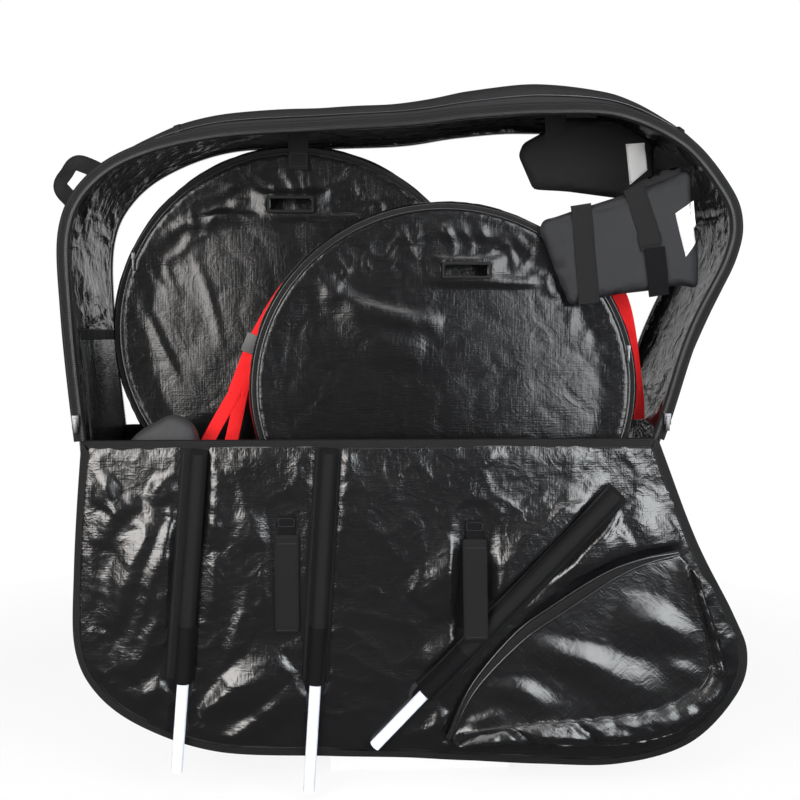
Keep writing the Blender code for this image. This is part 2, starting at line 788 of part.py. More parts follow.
def make_sleeve(side, index):
    start_share, end_share, offset_share, shown = SLEEVE_SHARES[index]
    start = on_panel(side, start_share)
    end = on_panel(side, end_share)
    length = math.dist(start, end)
    frame = panel_matrix(side, start, end)
    flip = -side_sign(side)
    axis_x, axis_y = tube_axis(offset_share * flip)
    half = SLEEVE_WIDTH / 2
    crest = SLEEVE_TOP_WIDTH / 2
    top = axis_y + TUBE_RADIUS + TUBE_GAP + SLEEVE_CLOTH
    outline = [(-half, 0), (half, 0), (half, SLEEVE_CLOTH), (axis_x + crest, SLEEVE_CLOTH)]
    outline += [(axis_x + crest * across, top * rise) for across, rise in CREST_SHARES]
    outline += [(axis_x - crest * across, top * rise) for across, rise in CREST_SHARES[::-1]]
    outline += [(axis_x - crest, SLEEVE_CLOTH), (-half, SLEEVE_CLOTH)]
    bm = bmesh.new()
    face = bm.faces.new([bm.verts.new((x, y, 0)) for x, y in outline])
    grown = bmesh.ops.extrude_face_region(bm, geom=[face])
    moved = [item for item in grown["geom"] if isinstance(item, bmesh.types.BMVert)]
    bmesh.ops.translate(bm, verts=moved, vec=(0, 0, length))
    tunnel = placed(finish_mesh("sleeve", bm, "webbing"), frame)
    bore = cylinder("sleeve_bore", (axis_x, axis_y, -TAIL_LENGTH),
                    (axis_x, axis_y, length - TUBE_END_MARGIN / 2),
                    TUBE_RADIUS + TUBE_GAP, ROUND_SIDES, "webbing")
    tail = block("tail", (-TAIL_WIDTH / 2, 0, -TAIL_LENGTH),
                 (TAIL_WIDTH / 2, SLEEVE_CLOTH, TAIL_WIDTH / 2), "webbing")
    patch = block("patch", (axis_x - PATCH_WIDTH / 2, top - SLEEVE_CLOTH / 2, 0),
                  (axis_x + PATCH_WIDTH / 2, top + SLEEVE_CLOTH, PATCH_LENGTH), "webbing")
    unite(side + "_sleeve_" + SLEEVE_NAMES[index],
          [tunnel, placed(tail, frame), placed(patch, frame)])
    cut(tunnel, placed(bore, frame))
    bake(tunnel)
    bpy.data.objects.remove(bore)


def make_tube(side, index):
    start_share, end_share, offset_share, shown = SLEEVE_SHARES[index]
    start = on_panel(side, start_share)
    end = on_panel(side, end_share)
    length = math.dist(start, end) - TUBE_END_MARGIN
    frame = panel_matrix(side, start, end)
    axis_x, axis_y = tube_axis(offset_share * -side_sign(side))
    low = -shown * BAG_LENGTH
    name = side + "_tube_" + SLEEVE_NAMES[index]
    tube = cylinder(name, (axis_x, axis_y, low), (axis_x, axis_y, low + length),
                    TUBE_RADIUS, ROUND_SIDES, "tube_white")
    bore = cylinder(name + "_bore", (axis_x, axis_y, low - TUBE_WALL),
                    (axis_x, axis_y, low + length + TUBE_WALL),
                    TUBE_RADIUS - TUBE_WALL, ROUND_SIDES, "tube_white")
    cut(placed(tube, frame), placed(bore, frame))


def make_leg_strap(index):
    """A padded strap sewn to the front panel at its top and hanging from there."""
    middle, top = on_panel("front", LEG_STRAP_SHARES[index])
    half_top = LEG_STRAP_TOP_WIDTH / 2
    half = LEG_STRAP_WIDTH / 2
    shoulder = -LEG_STRAP_TOP_LENGTH
    bottom = -LEG_STRAP_LENGTH
    outline = [(-half_top, 0), (half_top, 0), (half_top, shoulder), (half, shoulder),
               (half, bottom), (-half, bottom), (-half, shoulder), (-half_top, shoulder)]
    strap = plate("leg_strap_" + LEG_STRAP_NAMES[index], outline, -LEG_STRAP_THICKNESS, 0,
                  "webbing")
    lean = LEG_STRAP_LEAN_DEGREES if index else 0
    turn = Matrix.Rotation(-math.radians(lean), 4, "X")
    move = Matrix.Translation((middle, -HALF_DEPTH - PANEL_LINING_FACE - CLEARANCE, top))
    placed(strap, move @ turn)


def pocket_rows(margin):
    """Rows from the mouth to the outer side, with the end rows moved inward."""
    mouth = smooth_line([on_panel("front", row) for row in POCKET_MOUTH_SHARES], OUTLINE_STEPS)
    outer = smooth_line([on_panel("front", row) for row in POCKET_OUTER_SHARES], OUTLINE_STEPS)
    rows = [(Vector(near), Vector(far)) for near, far in zip(mouth, outer)]
    first = [a.lerp(b, margin) for a, b in zip(rows[0], rows[1])]
    last = [a.lerp(b, margin) for a, b in zip(rows[-1], rows[-2])]
    return [first] + rows[1:-1] + [last]


def pocket_block(name, rows, shares, wall):
    """A closed block from the pocket's flat back to its swelling front, less a wall."""
    back_y = -HALF_DEPTH - PANEL_LINING_FACE - CLEARANCE
    bm = bmesh.new()
    back = []
    face = []
    for near, far in rows:
        back_row = []
        face_row = []
        for share in shares:
            place = near.lerp(far, share)
            rise = math.sin(max(share, 0) * math.pi * POCKET_SWELL_SHARE)
            depth = POCKET_SEAM_DEPTH + rise * (POCKET_EDGE_DEPTH - POCKET_SEAM_DEPTH)
            back_row.append(bm.verts.new((place.x, back_y - wall, place.y)))
            face_row.append(bm.verts.new((place.x, back_y - depth + wall, place.y)))
        back.append(back_row)
        face.append(face_row)
    for grid in (back, face):
        for row, other in zip(grid, grid[1:]):
            for a, b, c, d in zip(row, row[1:], other[1:], other):
                bm.faces.new((a, b, c, d))
    rims = []
    for grid in (back, face):
        rim = grid[0] + [row[-1] for row in grid[1:]] + grid[-1][-2::-1]
        rims.append(rim + [row[0] for row in grid[-2:0:-1]])
    for index in range(len(rims[0])):
        after = (index + 1) % len(rims[0])
        bm.faces.new((rims[0][index], rims[0][after], rims[1][after], rims[1][index]))
    return finish_mesh(name, bm, "lining_tarp", smooth=True)


def make_pocket():
    """An expanding pocket: open along its curved mouth and deep along its outer side."""
    shares = [column / POCKET_COLUMNS for column in range(POCKET_COLUMNS + 1)]
    pocket = pocket_block("panel_pocket", pocket_rows(0), shares, 0)
    inner = [-POCKET_HEM_SHARE] + shares[:-1] + [1 - POCKET_HEM_SHARE]
    hollow = pocket_block("pocket_hollow", pocket_rows(POCKET_END_SHARE), inner, POCKET_WALL)
    cut(pocket, hollow)


# Wheel bags

def disc(name, x, z, y_low, y_high, radius, slot):
    return cylinder(name, (x, y_low, z), (x, y_high, z), radius, WHEEL_BAG_SIDES, slot)


def make_wheel_bag(name, x, z, front_y, slot_share):
    """Two padded covers with a gusset round the rim, and a grip slot in the front cover."""
    back_y = front_y + WHEEL_BAG_DEPTH
    slot_x = x + slot_share[0] * WHEEL_BAG_RADIUS
    slot_z = z + slot_share[1] * WHEEL_BAG_RADIUS
    half_length = SLOT_LENGTH / 2
    half_height = SLOT_HEIGHT / 2
    front = disc(name + "_front_cover", x, z, front_y, front_y + WHEEL_COVER,
                 WHEEL_BAG_RADIUS, "lining_tarp")
    hole = block(name + "_slot", (slot_x - half_length, front_y - WHEEL_COVER, slot_z - half_height),
                 (slot_x + half_length, front_y + 2 * WHEEL_COVER, slot_z + half_height),
                 "webbing")
    cut(front, hole)
    disc(name + "_back_cover", x, z, back_y - WHEEL_COVER, back_y, WHEEL_BAG_RADIUS,
         "lining_tarp")
    gusset_low = front_y + WHEEL_COVER + CLEARANCE
    gusset_high = back_y - WHEEL_COVER - CLEARANCE
    gusset = disc(name + "_gusset", x, z, gusset_low, gusset_high, WHEEL_BAG_RADIUS,
                  "lining_tarp")
    core = disc(name + "_core", x, z, gusset_low - GUSSET_WALL, gusset_high + GUSSET_WALL,
                WHEEL_BAG_RADIUS - GUSSET_WALL, "lining_tarp")
    cut(gusset, core)
    grip_high = front_y - CLEARANCE
    grip = block(name + "_grip", (slot_x - half_length - GRIP_RIM, grip_high - GRIP_THICKNESS,
                                  slot_z - half_height - GRIP_RIM),
                 (slot_x + half_length + GRIP_RIM, grip_high,
                  slot_z + half_height + GRIP_RIM), "webbing")
    cut(grip, hole)


def make_hanger():
    """Webbing from the arch's lining down over the rear wheel bag's front cover."""
    half = HANGER_WIDTH / 2
    left = REAR_WHEEL_BAG_X - half
    top = ceiling(left, left + HANGER_WIDTH, REAR_WHEEL_BAG_FRONT_Y)
    low = REAR_WHEEL_BAG_Z + WHEEL_BAG_RADIUS - HANGER_OVERLAP
    y_high = REAR_WHEEL_BAG_FRONT_Y - CLEARANCE
    block("hanger_strap", (REAR_WHEEL_BAG_X - half, y_high - HANGER_THICKNESS, low),
          (REAR_WHEEL_BAG_X + half, y_high, top - CLEARANCE), "webbing")


# Tie-down strap and its buckle

def tie_y():
    low = FRONT_WHEEL_BAG_BACK_Y + CLEARANCE + BUCKLE_PLATE + CLEARANCE
    return low, low + TIE_THICKNESS


def make_tie_strap():
    """The strap from two strands on the floor, over and down to the right-hand wall."""
    y_low, y_high = tie_y()
    wall_z = FLOOR_LEVEL + TIE_END_SHARE * (BAG_HEIGHT - FLOOR_LEVEL)
    wall_x = x_at(ceiling_line(y_low), wall_z - TIE_THICKNESS, False) - CLEARANCE - TIE_WIDTH / 2
    curve = [sized(row) for row in TIE_SHARES[1:]] + [(wall_x, wall_z)]
    line = [sized(TIE_SHARES[0])] + smooth_line(curve, TIE_STEPS)
    pieces = [plate("tie_main", ribbon_outline(line, TIE_WIDTH), y_low, y_high, "red_webbing")]
    for number, rows in enumerate(TIE_STRAND_SHARES):
        strand = smooth_line([sized(row) for row in rows], TIE_STEPS)
        outline = [(x, max(z, PAD_TOP + CLEARANCE))
                   for x, z in ribbon_outline(strand, TIE_STRAND_WIDTH)]
        pieces.append(plate("tie_strand_" + str(number), outline, y_low, y_high, "red_webbing"))
    unite("tie_down_strap", pieces)


def buckle_frame():
    """A frame on the tie-down strap: X across it, Z along it, Y out of the strap's back."""
    a, b = [Vector(sized(row)) for row in TIE_SHARES[:2]]
    along = (b - a).normalized()
    middle = a + (b - a) * (1 - BUCKLE_SHARE)
    up = Vector((along.x, 0, along.y))
    out = Vector((0, 1, 0))
    frame = Matrix((out.cross(up), out, up)).transposed().to_4x4()
    frame.translation = (middle.x, tie_y()[1], middle.y)
    return frame


def make_buckle():
    half = TIE_WIDTH / 2 + CLEARANCE + BUCKLE_RIM
    strap_half = TIE_WIDTH / 2 + CLEARANCE
    body = block("cam_buckle", (-half, -TIE_THICKNESS - CLEARANCE - BUCKLE_PLATE, -BUCKLE_LENGTH / 2),
                 (half, CLEARANCE + BUCKLE_BODY_DEPTH, BUCKLE_LENGTH / 2), "moulded_plastic")
    way = block("strap_way", (-strap_half, -TIE_THICKNESS - CLEARANCE, -BUCKLE_LENGTH),
                (strap_half, CLEARANCE, BUCKLE_LENGTH), "moulded_plastic")
    lever_half = LEVER_WIDTH / 2 + CLEARANCE
    recess = block("lever_recess", (-lever_half, CLEARANCE + BUCKLE_PLATE, -BUCKLE_LENGTH / 2 + BUCKLE_RIM),
                   (lever_half, CLEARANCE + 2 * BUCKLE_BODY_DEPTH, BUCKLE_LENGTH),
                   "moulded_plastic")
    frame = buckle_frame()
    placed(way, frame)
    placed(recess, frame)
    placed(body, frame)
    cut(body, way)
    cut(body, recess)


def lever_pin():
    """The lever's pin in the buckle's frame: Y and Z."""
    return CLEARANCE + BUCKLE_BODY_DEPTH / 2 + BUCKLE_PLATE, -BUCKLE_LENGTH / 2 + BUCKLE_RIM * 2


def make_lever():
    pin_y, pin_z = lever_pin()
    half = LEVER_WIDTH / 2
    lever = block("buckle_lever", (-half, pin_y - LEVER_DEPTH / 2, pin_z - LEVER_DEPTH / 2),
                  (half, pin_y + LEVER_DEPTH / 2, pin_z + LEVER_LENGTH), "moulded_plastic")
    placed(lever, buckle_frame())


# Handlebar pads and pouch

def make_front_pad():
    outline = [sized(row) for row in FRONT_PAD_SHARES]
    y_high = WHEEL_BAG_FRONT_Y - CLEARANCE
    y_low = y_high - PAD_THICKNESS
    pad = plate("front_handlebar_pad", outline, y_low, y_high, "pad_nylon")
    bevel_edges(pad, PAD_ROUNDING)
    bottom = min(z for x, z in outline)
    height = max(z for x, z in outline) - bottom
    half = PAD_STRAP_WIDTH / 2
    y_high = y_low - CLEARANCE
    low, high = [bottom + height * share for share in FRONT_PAD_STRAP_RISE_SHARES]
    for name, share in zip(PAD_STRAP_NAMES, FRONT_PAD_STRAP_SHARES):
        x = share * BAG_LENGTH
        block("front_pad_strap_" + name, (x - half, y_high - PAD_STRAP_THICKNESS, low),
              (x + half, y_high, high), "webbing")


def make_rear_pad():
    y_low = REAR_PAD_Y - PAD_THICKNESS / 2
    y_high = REAR_PAD_Y + PAD_THICKNESS / 2
    line = ceiling_line(y_high)
    outline = []
    for row in REAR_PAD_SHARES:
        x, z = sized(row)
        outline.append((x, min(z, z_under(line, x) - REAR_PAD_DROP)))
    pad = plate("rear_handlebar_pad", outline, y_low, y_high, "pad_nylon")
    bevel_edges(pad, PAD_ROUNDING)
    bottom = min(z for x, z in outline)
    half = PAD_STRAP_WIDTH / 2
    strap_y = y_low - CLEARANCE
    for name, share in zip(PAD_STRAP_NAMES, REAR_PAD_STRAP_SHARES):
        x = share * BAG_LENGTH
        high = ceiling(x - half, x + half, y_low) - CLEARANCE
        low = bottom + (high - bottom) * REAR_PAD_STRAP_RISE_SHARE
        block("rear_pad_strap_" + name, (x - half, strap_y - PAD_STRAP_THICKNESS, low),
              (x + half, strap_y, high), "webbing")


def make_pouch():
    outline = [(x, max(z, PAD_TOP + CLEARANCE)) for x, z in (sized(row) for row in POUCH_SHARES)]
    pouch = plate("parts_pouch", outline, POUCH_FRONT_Y, POUCH_FRONT_Y + POUCH_DEPTH, "pad_nylon")
    bevel_edges(pouch, POUCH_ROUNDING, POUCH_SHARP_DEGREES)


def build():
    for made in list(bpy.data.objects):
        bpy.data.objects.remove(made)
    make_base_tray()
    make_floor_pad()
    make_shell()
    for side in ("front", "rear"):
        make_tub_wall(side)
        make_zip(side)
        make_slider(side, True)
        make_slider(side, False)
    make_inner_pocket()
    make_handle("carry_loop", CARRY_LOOP_SHARES, CARRY_LOOP_RISE)
    make_handle("left_side_handle", LEFT_HANDLE_SHARES, SIDE_HANDLE_RISE)
    make_handle("right_side_handle", RIGHT_HANDLE_SHARES, SIDE_HANDLE_RISE)
    make_housing()
    make_axle()
    make_roller("front_roller", -ROLLER_SPACING / 2)
    make_roller("rear_roller", ROLLER_SPACING / 2)
    for side in ("front", "rear"):
        make_panel(side)
        for index in range(len(SLEEVE_SHARES)):
            make_sleeve(side, index)
            make_tube(side, index)
    for index in range(len(LEG_STRAP_SHARES)):
        make_leg_strap(index)
    make_pocket()
    make_wheel_bag("front_wheel_bag", FRONT_WHEEL_BAG_X, FRONT_WHEEL_BAG_Z,
                   WHEEL_BAG_FRONT_Y, SLOT_OFFSET_SHARES[0])
    make_wheel_bag("rear_wheel_bag", REAR_WHEEL_BAG_X, REAR_WHEEL_BAG_Z,
                   REAR_WHEEL_BAG_FRONT_Y, SLOT_OFFSET_SHARES[1])
    make_hanger()
    make_tie_strap()
    make_buckle()
    make_lever()
    make_front_pad()
    make_rear_pad()
    make_pouch()


build()
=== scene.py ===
"""Looks of the soft bike travel bag: cloth, tarpaulin, webbing, zips, pads and its studio."""
import json
import math

import bmesh
import bpy
import numpy as np
from mathutils import Matrix, Vector, noise
from mathutils.bvhtree import BVHTree
from mathutils.geometry import delaunay_2d_cdt

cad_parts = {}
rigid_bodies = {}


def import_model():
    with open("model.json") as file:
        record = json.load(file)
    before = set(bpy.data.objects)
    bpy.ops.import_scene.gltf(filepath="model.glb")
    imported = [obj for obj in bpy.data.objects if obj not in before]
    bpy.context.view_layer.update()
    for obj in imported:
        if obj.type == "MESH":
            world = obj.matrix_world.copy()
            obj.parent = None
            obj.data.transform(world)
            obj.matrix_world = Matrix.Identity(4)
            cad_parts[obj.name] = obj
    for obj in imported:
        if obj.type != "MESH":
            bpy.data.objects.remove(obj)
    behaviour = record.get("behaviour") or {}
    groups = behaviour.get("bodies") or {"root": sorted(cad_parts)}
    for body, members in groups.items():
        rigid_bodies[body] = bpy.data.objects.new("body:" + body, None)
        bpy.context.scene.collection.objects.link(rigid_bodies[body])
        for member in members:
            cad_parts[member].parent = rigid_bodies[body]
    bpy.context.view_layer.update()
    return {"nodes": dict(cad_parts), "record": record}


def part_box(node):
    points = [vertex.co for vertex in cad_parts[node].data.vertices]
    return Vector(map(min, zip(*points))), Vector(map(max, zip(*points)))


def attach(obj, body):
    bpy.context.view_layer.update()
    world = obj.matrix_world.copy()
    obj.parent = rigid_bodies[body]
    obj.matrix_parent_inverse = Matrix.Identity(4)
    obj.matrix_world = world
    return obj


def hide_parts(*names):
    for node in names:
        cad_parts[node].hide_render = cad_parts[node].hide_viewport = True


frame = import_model()

# The bag's own sizes, in metres
LENGTH = 1.265
HEIGHT = 0.951
HALF_DEPTH = 0.140
HINGE_Z = 0.2975
WALL = 0.012
LINING = 0.0015
GAP = 0.0003
EDGE_INSET = 0.070
PANEL_OVERLAP = 0.020
PANEL_SHELL = 0.0102
FLOOR_Z = 0.0128
PAD_TOP = 0.0458
TAPE_WIDTH = 0.018
BINDING_WIDTH = 0.017
PANEL_FACE = HALF_DEPTH + 2 * GAP + PANEL_SHELL + LINING
WHEEL_BAG_RADIUS = 0.354
SIDES = ("front", "rear")

# How finely the arch is laid out, and the rows at each end over which its inward direction turns level
CROWN_STEPS = 40
ARCH_ROWS = 600
LEVEL_ROWS = 12

# The arch: X, Z, the front and rear edges' insets, the panels' overlap and the crown's tuck, as shares
CROWN = (
    (-0.385, 0.000, 0.68, 0.68, 0.0, 0.000), (-0.409, 0.305, 0.66, 0.66, 0.0, 0.430),
    (-0.423, 0.541, 0.66, 0.66, 0.0, 0.445), (-0.421, 0.700, 0.64, 0.66, 0.1, 0.435),
    (-0.387, 0.803, 0.72, 0.64, 0.4, 0.435), (-0.316, 0.882, 0.88, 0.62, 0.9, 0.415),
    (-0.200, 0.936, 1.05, 0.60, 1.6, 0.290), (-0.040, 0.951, 1.02, 0.68, 1.4, 0.250),
    (0.071, 0.961, 1.02, 0.72, 1.2, 0.250), (0.158, 0.985, 1.15, 0.80, 0.9, 0.280),
    (0.263, 1.000, 1.22, 0.85, 0.9, 0.270), (0.379, 0.984, 1.10, 0.80, 1.3, 0.370),
    (0.484, 0.914, 1.00, 0.85, 2.4, 0.460), (0.552, 0.810, 0.96, 0.95, 2.6, 0.500),
    (0.577, 0.722, 0.94, 1.00, 2.0, 0.500), (0.567, 0.625, 0.94, 1.00, 1.1, 0.500),
    (0.519, 0.473, 1.02, 1.00, 0.8, 0.500), (0.462, 0.284, 0.80, 0.80, 0.1, 0.460),
    (0.375, 0.000, 0.70, 0.70, 0.0, 0.000),
)


# Shader maths

class Signal:
    """A shader socket that can stand in a sum."""

    def __init__(self, finish, socket):
        self.finish = finish
        self.socket = socket

    def sum(self, operation, first, second):
        settings = {"operation": operation}
        return self.finish.node("ShaderNodeMath", settings, {0: first, 1: second})

    def __add__(self, other):
        return self.sum("ADD", self, other)

    def __radd__(self, other):
        return self.sum("ADD", other, self)

    def __sub__(self, other):
        return self.sum("SUBTRACT", self, other)

    def __rsub__(self, other):
        return self.sum("SUBTRACT", other, self)

    def __mul__(self, other):
        return self.sum("MULTIPLY", self, other)

    def __rmul__(self, other):
        return self.sum("MULTIPLY", other, self)

    def __pow__(self, other):
        return self.sum("POWER", self, other)

    def __abs__(self):
        return self.sum("ABSOLUTE", self, 0.0)

    def at_most(self, other):
        return self.sum("MINIMUM", self, other)

    def at_least(self, other):
        return self.sum("MAXIMUM", self, other)


# The Mix node's sockets for colours
MIX_LOW = 6
MIX_HIGH = 7
MIX_RESULT = 2


class Finish:
    """A Principled material and a short way to add nodes to it."""

    def __init__(self, name, colour, roughness, metallic=0.0, **constants):
        self.material = bpy.data.materials.new(name)
        self.material.use_nodes = True
        self.tree = self.material.node_tree
        self.shader = self.tree.nodes["Principled BSDF"]
        self.shader.inputs["Base Color"].default_value = (*colour, 1)
        self.shader.inputs["Roughness"].default_value = roughness
        self.shader.inputs["Metallic"].default_value = metallic
        for word, value in constants.items():
            self.shader.inputs[word.replace("_", " ")].default_value = value

    def node(self, kind, settings, values, output=0):
        """A new node, its settings made first and its sockets then set or linked."""
        made = self.tree.nodes.new(kind)
        for word, value in settings.items():
            setattr(made, word, value)
        for word, value in values.items():
            if isinstance(value, Signal):
                self.tree.links.new(value.socket, made.inputs[word])
            else:
                made.inputs[word].default_value = value
        return Signal(self, made.outputs[output])

    def place(self, scale=(1, 1, 1), turn=0.0, uv=True):
        """Where a pattern lies: on the piece's own map, or in the bag's own frame."""
        source = self.node("ShaderNodeTexCoord", {}, {}, "UV" if uv else "Object")
        return self.node("ShaderNodeMapping", {},
                         {"Vector": source, "Scale": scale, "Rotation": (0, 0, turn)})

    def cloud(self, where, scale, detail=2.0, distortion=0.0, roughness=0.5):
        return self.node("ShaderNodeTexNoise", {},
                         {"Vector": where, "Scale": scale, "Detail": detail,
                          "Distortion": distortion, "Roughness": roughness})

    def wave(self, where, pitch, direction="X"):
        """Bands a pitch apart, from 0 to 1."""
        settings = {"wave_type": "BANDS", "bands_direction": direction, "wave_profile": "SIN"}
        return self.node("ShaderNodeTexWave", settings,
                         {"Vector": where, "Scale": 2 * math.pi / 20 / pitch})

    def bump(self, height, distance, strength=1.0, under=None):
        values = {"Height": height, "Distance": distance, "Strength": strength}
        if under:
            values["Normal"] = under
        return self.node("ShaderNodeBump", {}, values)

    def mixed(self, mask, low, high):
        """A colour between two, by a mask, through the Mix node's colour sockets."""
        values = {"Factor": mask, MIX_LOW: (*low, 1), MIX_HIGH: (*high, 1)}
        return self.node("ShaderNodeMix", {"data_type": "RGBA"}, values, MIX_RESULT)

    def feed(self, word, signal):
        self.tree.links.new(signal.socket, self.shader.inputs[word])


def make_tarp(name, colour, shine, crumple, gloss=0.7, fine=1.0):
    """Woven tarpaulin with a shiny film: fine hatch, crinkles and rubbed streaks."""
    tarp = Finish(name, colour, shine, Specular_IOR_Level=gloss)
    flat = tarp.place()
    along = tarp.cloud(tarp.place((25, 420, 1)), 1.0, 2.0)
    across = tarp.cloud(tarp.place((430, 22, 1)), 1.0, 2.0)
    hatch = along * 0.5 + across * 0.5
    broad = tarp.cloud(flat, 9.0, 3.0, 0.8)
    fold = abs(tarp.cloud(flat, 17.0 * fine, 3.0, 1.1) - 0.5) * 2.0
    crease = abs(tarp.cloud(flat, 46.0 * fine, 2.0, 0.9) - 0.5) * 2.0
    pucker = tarp.cloud(flat, 120.0, 2.0, 0.4)
    low = tarp.bump(broad, 0.020 * crumple, 0.9)
    low = tarp.bump((1 - fold) ** 3.0, 0.0055 * crumple, 0.9, low)
    low = tarp.bump((1 - crease) ** 4.0, 0.0020 * crumple, 0.9, low)
    low = tarp.bump(pucker, 0.0014 * crumple, 0.8, low)
    low = tarp.bump(hatch, 0.00055, 0.9, low)
    tarp.feed("Normal", low)
    wear = tarp.cloud(flat, 6.0, 3.0)
    tarp.feed("Roughness", shine - 0.11 + hatch * 0.16 + wear * 0.10)
    dark = tuple(part * 0.6 for part in colour)
    light = tuple(part * 1.8 for part in colour)
    tarp.feed("Base Color", tarp.mixed(hatch, dark, light))
    return tarp.material


def make_weave(name, colour, roughness, pitch, **constants):
    """Plain woven cloth with threads a pitch apart, and slow changes of shade."""
    cloth = Finish(name, colour, roughness, **constants)
    flat = cloth.place()
    threads = cloth.wave(flat, pitch, "X") * cloth.wave(flat, pitch, "Y")
    slow = cloth.cloud(flat, 11.0, 4.0, 0.6)
    fuzz = cloth.cloud(flat, 900.0, 2.0)
    low = cloth.bump(slow, 0.006, 0.5)
    low = cloth.bump(threads, 0.0006, 0.7, low)
    low = cloth.bump(fuzz, 0.0004, 0.5, low)
    cloth.feed("Normal", low)
    dark = tuple(part * 0.72 for part in colour)
    light = tuple(part * 1.35 for part in colour)
    shade = (slow * 0.6 + threads * 0.25 + fuzz * 0.15)
    cloth.feed("Base Color", cloth.mixed(shade, dark, light))
    cloth.feed("Roughness", roughness - 0.08 + slow * 0.16)
    return cloth.material


def make_webbing(name, colour, roughness):
    """Webbing with ribs across it and a faint thread along it."""
    strap = Finish(name, colour, roughness, Specular_IOR_Level=0.25)
    flat = strap.place()
    ribs = strap.wave(flat, 0.0016, "X")
    runs = strap.wave(flat, 0.0030, "Y")
    fuzz = strap.cloud(flat, 700.0, 2.0)
    low = strap.bump(ribs, 0.0006, 0.8)
    low = strap.bump(runs, 0.0005, 0.5, low)
    low = strap.bump(fuzz, 0.0004, 0.4, low)
    strap.feed("Normal", low)
    dark = tuple(part * 0.62 for part in colour)
    light = tuple(part * 1.25 for part in colour)
    strap.feed("Base Color", strap.mixed(ribs * 0.5 + runs * 0.2 + fuzz * 0.3, dark, light))
    return strap.material


def make_hook_loop():
    """Hook-and-loop tape: a felt of fine loops."""
    tape = Finish("hook_and_loop", (0.004, 0.004, 0.0045), 0.95, Specular_IOR_Level=0.10)
    flat = tape.place()
    loops = tape.node("ShaderNodeTexVoronoi", {}, {"Vector": flat, "Scale": 900.0}, "Distance")
    slow = tape.cloud(flat, 90.0, 3.0)
    low = tape.bump(loops, 0.0010, 0.9)
    tape.feed("Normal", tape.bump(slow, 0.0012, 0.4, low))
    tape.feed("Base Color", tape.mixed(loops, (0.002, 0.002, 0.0022), (0.008, 0.008, 0.009)))
    return tape.material


def make_plastic(name, colour, roughness, grain):
    """Moulded plastic with a fine grain, and slow patches of roughness and tone."""
    plastic = Finish(name, colour, roughness)
    where = plastic.place(uv=False)
    fine = plastic.cloud(where, grain, 3.0)
    slow = plastic.cloud(where, 22.0, 3.0)
    plastic.feed("Normal", plastic.bump(fine, 0.0003, 0.5))
    plastic.feed("Roughness", roughness - 0.1 + slow * 0.2)
    dark = tuple(part * 0.85 for part in colour)
    light = tuple(min(part * 1.25, 1) for part in colour)
    plastic.feed("Base Color", plastic.mixed(slow, dark, light))
    return plastic.material


def make_metal(name, colour, roughness):
    """Metal with fine brush marks."""
    metal = Finish(name, colour, roughness, 1.0)
    where = metal.place(uv=False)
    brushed = metal.cloud(where, 340.0, 3.0)
    metal.feed("Normal", metal.bump(brushed, 0.0002, 0.4))
    metal.feed("Roughness", roughness - 0.08 + brushed * 0.18)
    return metal.material


OUTER = make_weave("outer_cloth", (0.0150, 0.0150, 0.0160), 0.72, 0.0011, Specular_IOR_Level=0.26)
SLEEVE_CLOTH = make_weave("sleeve_cloth", (0.0060, 0.0060, 0.0065), 0.76, 0.0011, Specular_IOR_Level=0.20)
TARP = make_tarp("tarpaulin", (0.0040, 0.0040, 0.0045), 0.21, 0.10)
TARP_CREASED = make_tarp("tarpaulin_creased", (0.0030, 0.0030, 0.0034), 0.18, 0.28, 0.38, 0.7)
TARP_SMOOTH = make_tarp("tarpaulin_taut", (0.0040, 0.0040, 0.0045), 0.24, 0.08)
TARP_DULL = make_tarp("tarpaulin_dull", (0.0034, 0.0034, 0.0038), 0.21, 0.055, 0.42)
WEBBING = make_webbing("black_webbing", (0.0070, 0.0070, 0.0075), 0.72)
BINDING = make_webbing("grosgrain", (0.0055, 0.0055, 0.0060), 0.66)
RED = make_webbing("red_webbing", (0.80, 0.010, 0.012), 0.52)
PAD_CLOTH = make_weave("pad_nylon", (0.0115, 0.0118, 0.0140), 0.48, 0.0009, Specular_IOR_Level=0.38)
# A darker copy of the pad nylon: painted shade, for the rear pad set back under the arch and for the front
# pad's folded flap
PAD_SHADED = make_weave("pad_nylon_dark", (0.0050, 0.0050, 0.0060), 0.60, 0.0009, Specular_IOR_Level=0.25)
POUCH_CLOTH = make_weave("pouch_nylon", (0.034, 0.0345, 0.037), 0.52, 0.0010, Specular_IOR_Level=0.45)
LABEL = make_weave("bare_patch", (0.72, 0.72, 0.73), 0.70, 0.0008)
HOOK_LOOP = make_hook_loop()
PIPING = Finish("piping", (0.008, 0.008, 0.009), 0.24, Specular_IOR_Level=0.7).material
WHITE_TUBE = make_plastic("white_tube", (0.62, 0.65, 0.72), 0.30, 260.0)
PLASTIC = make_plastic("moulded_plastic_look", (0.016, 0.016, 0.017), 0.42, 500.0)
RUBBER = make_plastic("rubber_look", (0.022, 0.022, 0.022), 0.78, 300.0)
DARK_METAL = make_metal("zip_metal_look", (0.10, 0.10, 0.105), 0.34)
STEEL = make_metal("steel_look", (0.52, 0.53, 0.55), 0.30)
THREAD = Finish("thread", (0.030, 0.030, 0.033), 0.60).material


# Lines and outlines, in X and Z

def spline_point(rows, place):
    """A point on the smooth curve through rows, at a place counted in rows."""
    step = min(int(place), len(rows) - 2)
    t = place - step
    p1 = rows[step]
    p2 = rows[step + 1]
    p0 = rows[step - 1] if step else [2 * a - b for a, b in zip(p1, p2)]
    p3 = rows[step + 2] if step + 2 < len(rows) else [2 * b - a for a, b in zip(p1, p2)]
    return [
        b + 0.5 * t * (c - a + t * (2 * a - 5 * b + 4 * c - d + t * (3 * (b - c) + d - a)))
        for a, b, c, d in zip(p0, p1, p2, p3)
    ]


